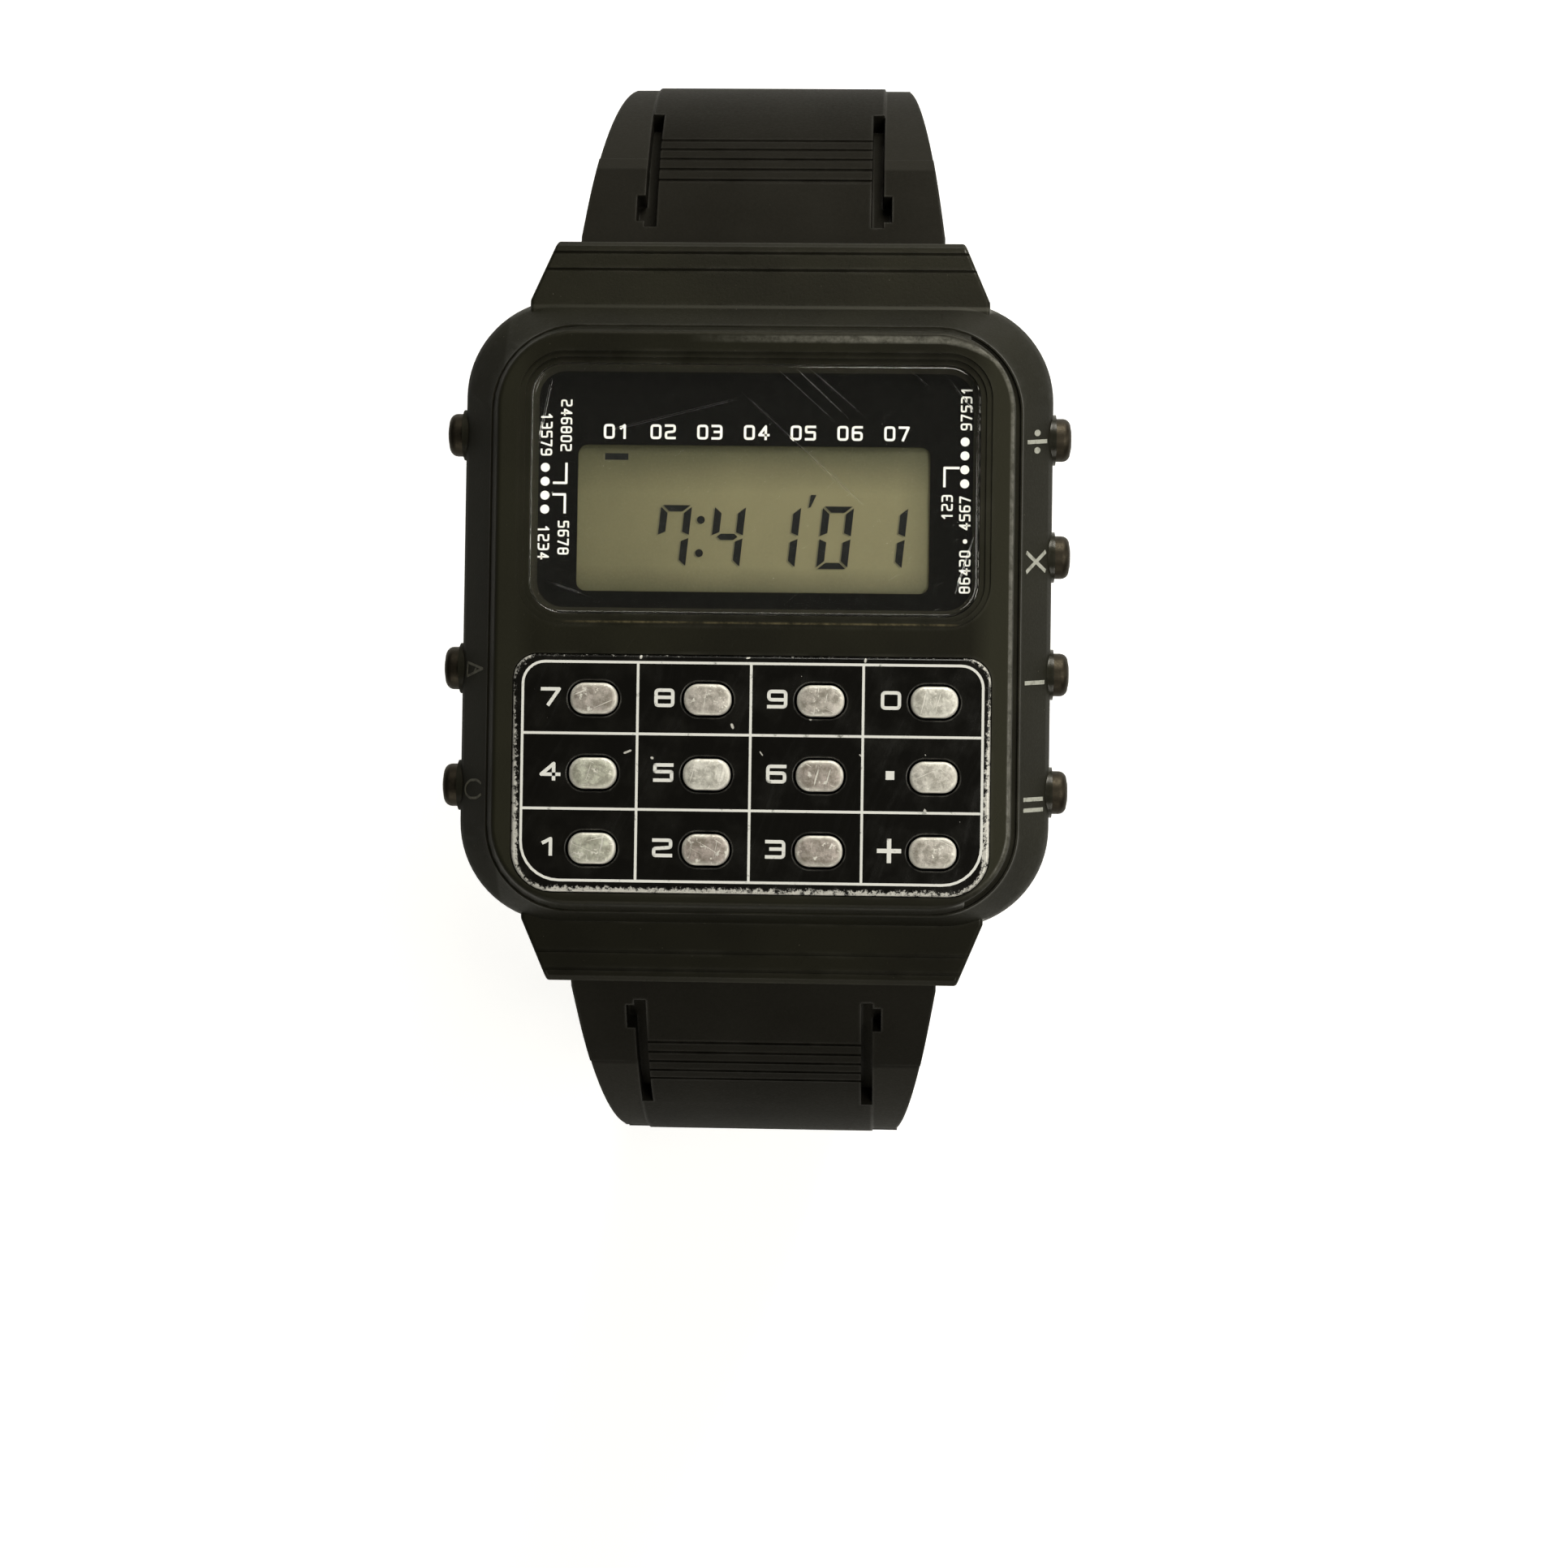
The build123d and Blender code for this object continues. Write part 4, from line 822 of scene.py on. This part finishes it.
def segmentCorners():
    # the seven bars of a figure as corner points, with mitred ends and a clear gap between neighbours
    wide, half, tall, gap, post, beam = h["width"], h["height"] / 2, h["height"], h["gap"], h["post"], h["beam"]
    near, far, low, high = post + gap, wide - post - gap, half - beam / 2, half + beam / 2
    top = [(gap, tall), (wide - gap, tall), (far, tall - beam), (near, tall - beam)]
    side = [(0, tall - gap), (post, tall - beam - gap), (post, high + gap), (0, half + gap)]
    middle = [(near - post / 2, half), (near, high), (far, high), (far + post / 2, half), (far, low), (near, low)]
    across = [(wide - x, y) for x, y in side]
    bars = {"a": top, "b": across, "f": side, "g": middle}
    for upper, lower in ("ad", "bc", "fe"):
        bars[lower] = [(x, tall - y) for x, y in bars[upper]]
    return {
        name: [(x - wide / 2 + (y - half) * h["slant"], h["level"] + y - half) for x, y in points]
        for name, points in bars.items()
    }


def prism(bm, points, low, high):
    # a flat print with any outline
    face = bm.faces.new([bm.verts.new((x, y, low)) for x, y in points])
    thicken(bm, [face], high - low)


def segmentBars(name, look, low, shift):
    # seven-segment figures, leaning to the right
    bm = bmesh.new()
    high = low + h["ink"]
    corners = segmentCorners()
    for x, figure in h["places"]:
        for segment in litBars[figure]:
            prism(bm, [(x + u, v) for u, v in corners[segment]], low, high)
    for centre in h["colon"]:
        dot(bm, centre, h["colonSize"], low, high)
    prism(bm, h["tick"], low, high)
    start, end, line = h["flag"]
    bar(bm, start, end, line, low, high)
    bmesh.ops.translate(bm, vec=(*shift, 0), verts=bm.verts)
    finishPiece(bm, name, look, "case")


segmentBars("lcdShade", "segmentShade", c["high"] + h["shadeRise"], h["shade"])
segmentBars("lcdFigures", "segmentInk", c["high"] + h["rise"], (0, 0))
print("display ready")

# Keypad plate: rounded plate with a stadium hole for each key
keypadSettings = {
    "width": 27.6, "length": 13.75, "corner": (1.4, 2.4), "middle": (0, -9.8), "low": 8.7, "high": 9.2, "edge": 0.18,
    "columns": (-9.1, -2.52, 4.0, 10.55), "rows": (4.32, 0.0, -4.34),
    "names": ("7890", "456.", "123+"), "hole": (3.04, 2.09), "holeLip": (0.06, 2, 60),
}
k = keypadSettings
keyPlaces = [
    (sign, k["columns"][column], k["middle"][1] + k["rows"][row])
    for row, signs in enumerate(k["names"])
    for column, sign in enumerate(signs)
]


def plateWithHoles():
    # the plate less a stadium-shaped prism for each key
    body, holes = bmesh.new(), bmesh.new()
    stackFaces(body, softTop(k, k["middle"], rounds=3))
    hole = (*k["hole"], k["hole"][1] / 2 - 0.01)
    for _, x, y in keyPlaces:
        stackFaces(holes, [(*hole, k["low"] - 1, (x, y)), (*hole, k["high"] + 1, (x, y))], 10)
    bmesh.ops.recalc_face_normals(holes, faces=holes.faces)
    pair = [putInScene(name, meshFrom(item, name)) for name, item in (("plateBody", body), ("plateHoles", holes))]
    cut = pair[0].modifiers.new("cut", "BOOLEAN")
    cut.operation = "DIFFERENCE"
    cut.object = pair[1]
    cut.solver = "EXACT"
    result = bpy.data.meshes.new_from_object(pair[0].evaluated_get(bpy.context.evaluated_depsgraph_get()))
    bm = bmesh.new()
    bm.from_mesh(result)
    for mesh in (pair[0].data, pair[1].data, result):
        bpy.data.meshes.remove(mesh)  # takes the object that holds it away too
    return bm


keypadPlate = finishPiece(plateWithHoles(), "keypadPlate", "keypadLacquer", "case", "keypad_plate")
soften(keypadPlate, *k["holeLip"])

# White grid and labels on the keypad
gridSettings = {
    "outline": (26.72, 12.78, (1.35, 2.3), (0.06, -9.68)), "line": 0.15, "ink": 0.012,
    "uprights": (-6.56, -0.02, 6.46), "levels": (-7.5, -11.86), "labelShift": -2.5, "labelRise": 0.08,
    "label": (1.17, 1.08), "labelLine": 0.2, "plus": (1.4, 1.4), "plusLine": 0.25, "point": 0.5,
}
s = gridSettings
printLow, printHigh = k["high"], k["high"] + s["ink"]
bm = bmesh.new()
frameBand(bm, s["outline"], s["line"], printLow, printHigh)
left = s["outline"][3][0] - s["outline"][0] / 2
top = s["outline"][3][1] + s["outline"][1] / 2
inset = s["line"] / 2
for x in s["uprights"]:
    bar(bm, (x, top - inset), (x, top - s["outline"][1] + inset), s["line"], printLow, printHigh - layer)
for y in s["levels"]:
    bar(bm, (left + inset, y), (left + s["outline"][0] - inset, y), s["line"], printLow, printHigh - 2 * layer)
for sign, x, y in keyPlaces:
    spot = (x + s["labelShift"], y + s["labelRise"])
    if sign == ".":
        half = s["point"] / 2
        bar(bm, (spot[0] - half, spot[1]), (spot[0] + half, spot[1]), s["point"], printLow, printHigh)
    else:
        size, line = (s["plus"], s["plusLine"]) if sign == "+" else (s["label"], s["labelLine"])
        glyph(bm, sign, spot, size, line, printLow, printHigh)
finishPiece(bm, "keypadPrint", "keypadWhite", "case")

# Keys: domed stadium caps
keySettings = {
    "width": 2.74, "length": 1.8, "corner": 0.84, "low": 8.66, "high": 9.5, "edge": 0.2, "crown": 0.05,
    "shade": {
        "7": 0.25, "8": 0.45, "9": 0.42, "0": 1.0, "4": 0.45, "5": 1.0, "6": 0.1, ".": 0.75, "1": 0.5, "2": 0.0,
        "3": 0.1,
    },
    "shadeElse": 0.5, "green": "0541",
}
p = keySettings
keyWords = {".": "point", "+": "plus"}
for sign, x, y in keyPlaces:
    word = keyWords.get(sign, sign)
    bm = bmesh.new()
    stackFaces(bm, softTop(p, (x, y), p["crown"], 5), 10)
    cap = finishPiece(bm, "keyCap" + word.capitalize(), "satinKeys", f"key_{word}_body", f"key_{word}")
    paint(cap, "shade", p["shade"].get(sign, p["shadeElse"]))
    paint(cap, "green", float(sign in p["green"]))
print("keypad ready")

# Marks beside the buttons, on the sloping flanks
markSettings = {
    "low": (17.1, 5.6), "high": (15.55, 7.78), "at": 16.4, "off": 0.004, "ink": 0.014, "line": 0.24, "fineLine": 0.15,
    "right": (("-:", 9.99, 0.154), ("x", 2.95, 0.12), ("-", -4.12, 0.09), ("=", -11.24, 0.06)),
    "left": (("pointer", -3.65, 0), ("ring", -10.75, 0)),
    "across": 2.1, "along": 1.28, "dotRise": 0.51, "dotSize": 0.19, "dotStretch": 1.7,
}
a = markSettings


def flankPlace(side, along, lean):
    # a matrix whose X runs across the flank, rising by lean, and whose Z stands out of it
    (lowX, lowZ), (highX, highZ) = a["low"], a["high"]
    share = (lowX - a["at"]) / (lowX - highX)
    origin = Vector((side * a["at"], along, lowZ + share * (highZ - lowZ)))
    across = Vector((side * (highX - lowX), 0, highZ - lowZ)).normalized()
    if side > 0:
        across = -across
    up = Vector((0, 1, 0))
    out = across.cross(up)
    turn = Matrix((across, up, out)).transposed().to_4x4()
    slant = Matrix(((1, 0, 0, 0), (lean, 1, 0, 0), (0, 0, 1, 0), (0, 0, 0, 1)))
    return Matrix.Translation(origin) @ turn @ slant


def sideMarks(name, side, marks, line, look):
    bm = bmesh.new()
    low, high = a["off"], a["off"] + a["ink"]
    size = (a["across"], a["along"])
    for sign, along, lean in marks:
        place = flankPlace(side, along, lean)
        glyph(bm, sign.rstrip(":"), (0, 0), size, line, low, high, place)
        if sign.endswith(":"):
            wide = place @ Matrix.Diagonal((a["dotStretch"], 1, 1, 1))
            for rise in (a["dotRise"], -a["dotRise"]):
                dot(bm, (0, rise), a["dotSize"], low, high, wide)
    finishPiece(bm, name, look, "case")


sideMarks("marksRight", 1, a["right"], a["line"], "sideMark")
sideMarks("marksLeft", -1, a["left"], a["fineLine"], "faintMark")

# Side buttons: turned caps with a soft rim and a slight dome
buttonSettings = {
    "radius": 1.27, "reach": 18.55, "cap": 1.55, "level": 3.9, "spacing": 6.97, "rim": 0.46, "dome": 0.08,
    "stem": 0.6, "stemEnd": 12.3, "sides": 40, "rimSteps": 5, "domeRing": 0.45,
}
buttonNames = (("right_1", "left_1"), ("right_2", None), ("right_3", "left_3"), ("right_4", "left_4"))


def turnedButton(name, side, along):
    # the half outline of the cap and stem, spun about X
    b = buttonSettings
    bm = bmesh.new()
    reach, radius, steps = b["reach"], b["radius"], b["rimSteps"]
    seat, edge = reach - b["cap"], reach - b["dome"]
    points = [(b["stemEnd"], 0), (b["stemEnd"], b["stem"]), (seat, b["stem"]), (seat, radius)]
    for step in range(steps + 1):
        turn = pi / 2 * step / steps
        points.append((edge - b["rim"] * (1 - sin(turn)), radius - b["rim"] * (1 - cos(turn))))
    points += [(reach - b["dome"] / 3, radius * b["domeRing"]), (reach, 0)]
    verts = [bm.verts.new((side * x, along, b["level"] + r)) for x, r in points]
    for first, second in zip(verts, verts[1:]):
        bm.edges.new((first, second))
    bmesh.ops.spin(
        bm, geom=list(bm.verts) + list(bm.edges), cent=(0, along, b["level"]), axis=(1, 0, 0), angle=2 * pi,
        steps=b["sides"], use_merge=True,
    )
    node = "button_" + name
    finishPiece(bm, "pusher_" + name, "buttonMetal", node + "_body", node)


for row, names in enumerate(buttonNames):
    for name, side in zip(names, (1, -1)):
        if name:
            turnedButton(name, side, ((len(buttonNames) - 1) / 2 - row) * buttonSettings["spacing"])
print("buttons ready")

# Strap, keeper, buckle and back: copies with soft edges, each (piece, look, slot, edge width, rounds)
copies = {
    "strap_upper": ("strapShort", "strapResin", "strap_resin", 0.16, 3),
    "strap_lower": ("strapLong", "strapResin", "strap_resin", 0.16, 3),
    "keeper_loop": ("strapKeeper", "strapResin", "strap_resin", 0.16, 3),
    "buckle_frame": ("buckleFrame", "buckleSteel", "buckle_steel", 0.12, 3),
    "buckle_bar": ("buckleBar", "buckleSteel", "buckle_steel", 0.12, 3),
    "buckle_tongue": ("buckleTongue", "buckleSteel", "buckle_steel", 0.12, 3),
    "back_cover": ("backCover", "brushedCover", "brushed_cover", 0.08, 2),
    "back_screws": ("coverScrews", "brightSteel", "bright_steel", 0.03, 2),
}
for node, settings in copies.items():
    softCopy(node, *settings)
print("strap and back ready")

# Inner pieces keep their solids: each look, and how the names of its nodes start
innerLooks = {
    "softRubber": ("connector_strips", "key_mat", "back_gasket"), "modulePlastic": ("module_frame",),
    "boardLaminate": ("circuit_board",), "chipPlastic": ("chips",), "lampGlass": ("lamp",),
    "brassParts": ("trimmer_capacitor", "contact_springs"),
    "brightSteel": ("quartz_crystal", "battery_cells", "battery_clamp", "clip_", "spring_"),
}
for node, piece in nodes.items():
    for look, starts in innerLooks.items():
        if node.startswith(starts):
            piece.data.materials.clear()
            piece.data.materials.append(bpy.data.materials[look])
print("inner pieces finished")

# Floor, camera and lights
floorSettings = {"size": 3000.0, "drop": 0.02, "colour": tone(238, 238, 236), "glow": 0.62, "mirrored": 0.03}
f = floorSettings
bm = bmesh.new()
bmesh.ops.create_grid(bm, x_segments=1, y_segments=1, size=f["size"] / 2)
bmesh.ops.translate(bm, vec=(0, 0, cadBounds[0].z / mm - f["drop"]), verts=bm.verts)
bmesh.ops.scale(bm, vec=(mm, mm, mm), verts=bm.verts)
studioFloor = putInScene("studioFloor", meshFrom(bm, "studioFloor"))
look = Look("floorLook", {"Base Color": f["colour"], "Roughness": 0.9})
rays = look.node("LightPath", {}).outputs
mirrored = look.times(rays["Is Glossy Ray"], f["mirrored"])
seen = look.most(rays["Is Camera Ray"], mirrored, rays["Is Transmission Ray"])
look.feed(look.shader.inputs["Emission Color"], (1, 1, 1))
look.feed(look.shader.inputs["Emission Strength"], look.times(seen, f["glow"]))
studioFloor.data.materials.append(look.material)

cameraSettings = {
    "place": (8.11, -14.43, 177.6), "aim": (1.804, -10.184, 5.0), "roll": 0.80, "lens": 67.2, "sensor": 36,
    "clip": (0.01, 20),
}
e = cameraSettings
place, aim = Vector(e["place"]), Vector(e["aim"])
back = (place - aim).normalized()
right = Vector((0, 1, 0)).cross(back).normalized()
turn = Matrix((right, back.cross(right), back)).transposed().to_4x4() @ Matrix.Rotation(radians(e["roll"]), 4, "Z")
camera = bpy.data.cameras.new("photoCamera")
camera.lens = e["lens"]
camera.sensor_width = e["sensor"]
camera.clip_start, camera.clip_end = e["clip"]
item = putInScene("photoCamera", camera)
item.matrix_world = Matrix.Translation(place * mm) @ turn
bpy.context.scene.camera = item

# each lamp: name, place, width and power
lightSettings = {
    "lamps": (
        ("windowTop", (110, 390, 250), 220, 1.5), ("windowLow", (160, 430, 90), 180, 0.3),
        ("ceiling", (260, -60, 420), 260, 1.0), ("sideRight", (430, 60, 130), 160, 0.25),
        ("front", (-40, -460, 200), 260, 0.6),
    ),
    "aim": (0, 0, -10), "lampColour": (1.0, 0.975, 0.9), "skyColour": (1, 0.97, 0.88, 1), "sky": 0.05,
}
w = lightSettings
for name, place, size, power in w["lamps"]:
    lamp = bpy.data.lights.new(name, "AREA")
    lamp.size = size * mm
    lamp.energy = power
    lamp.color = w["lampColour"]
    spot = Vector(place)
    aim = (spot - Vector(w["aim"])).normalized()
    turn = aim.to_track_quat("Z", "Y").to_matrix().to_4x4()
    putInScene(name, lamp).matrix_world = Matrix.Translation(spot * mm) @ turn

world = bpy.data.worlds.new("studioWorld")
bpy.context.scene.world = world
world.use_nodes = True
sky = world.node_tree.nodes["Background"]
sky.inputs["Color"].default_value = w["skyColour"]
sky.inputs["Strength"].default_value = w["sky"]
bpy.context.scene.view_settings.view_transform = "Standard"
print("stage ready")
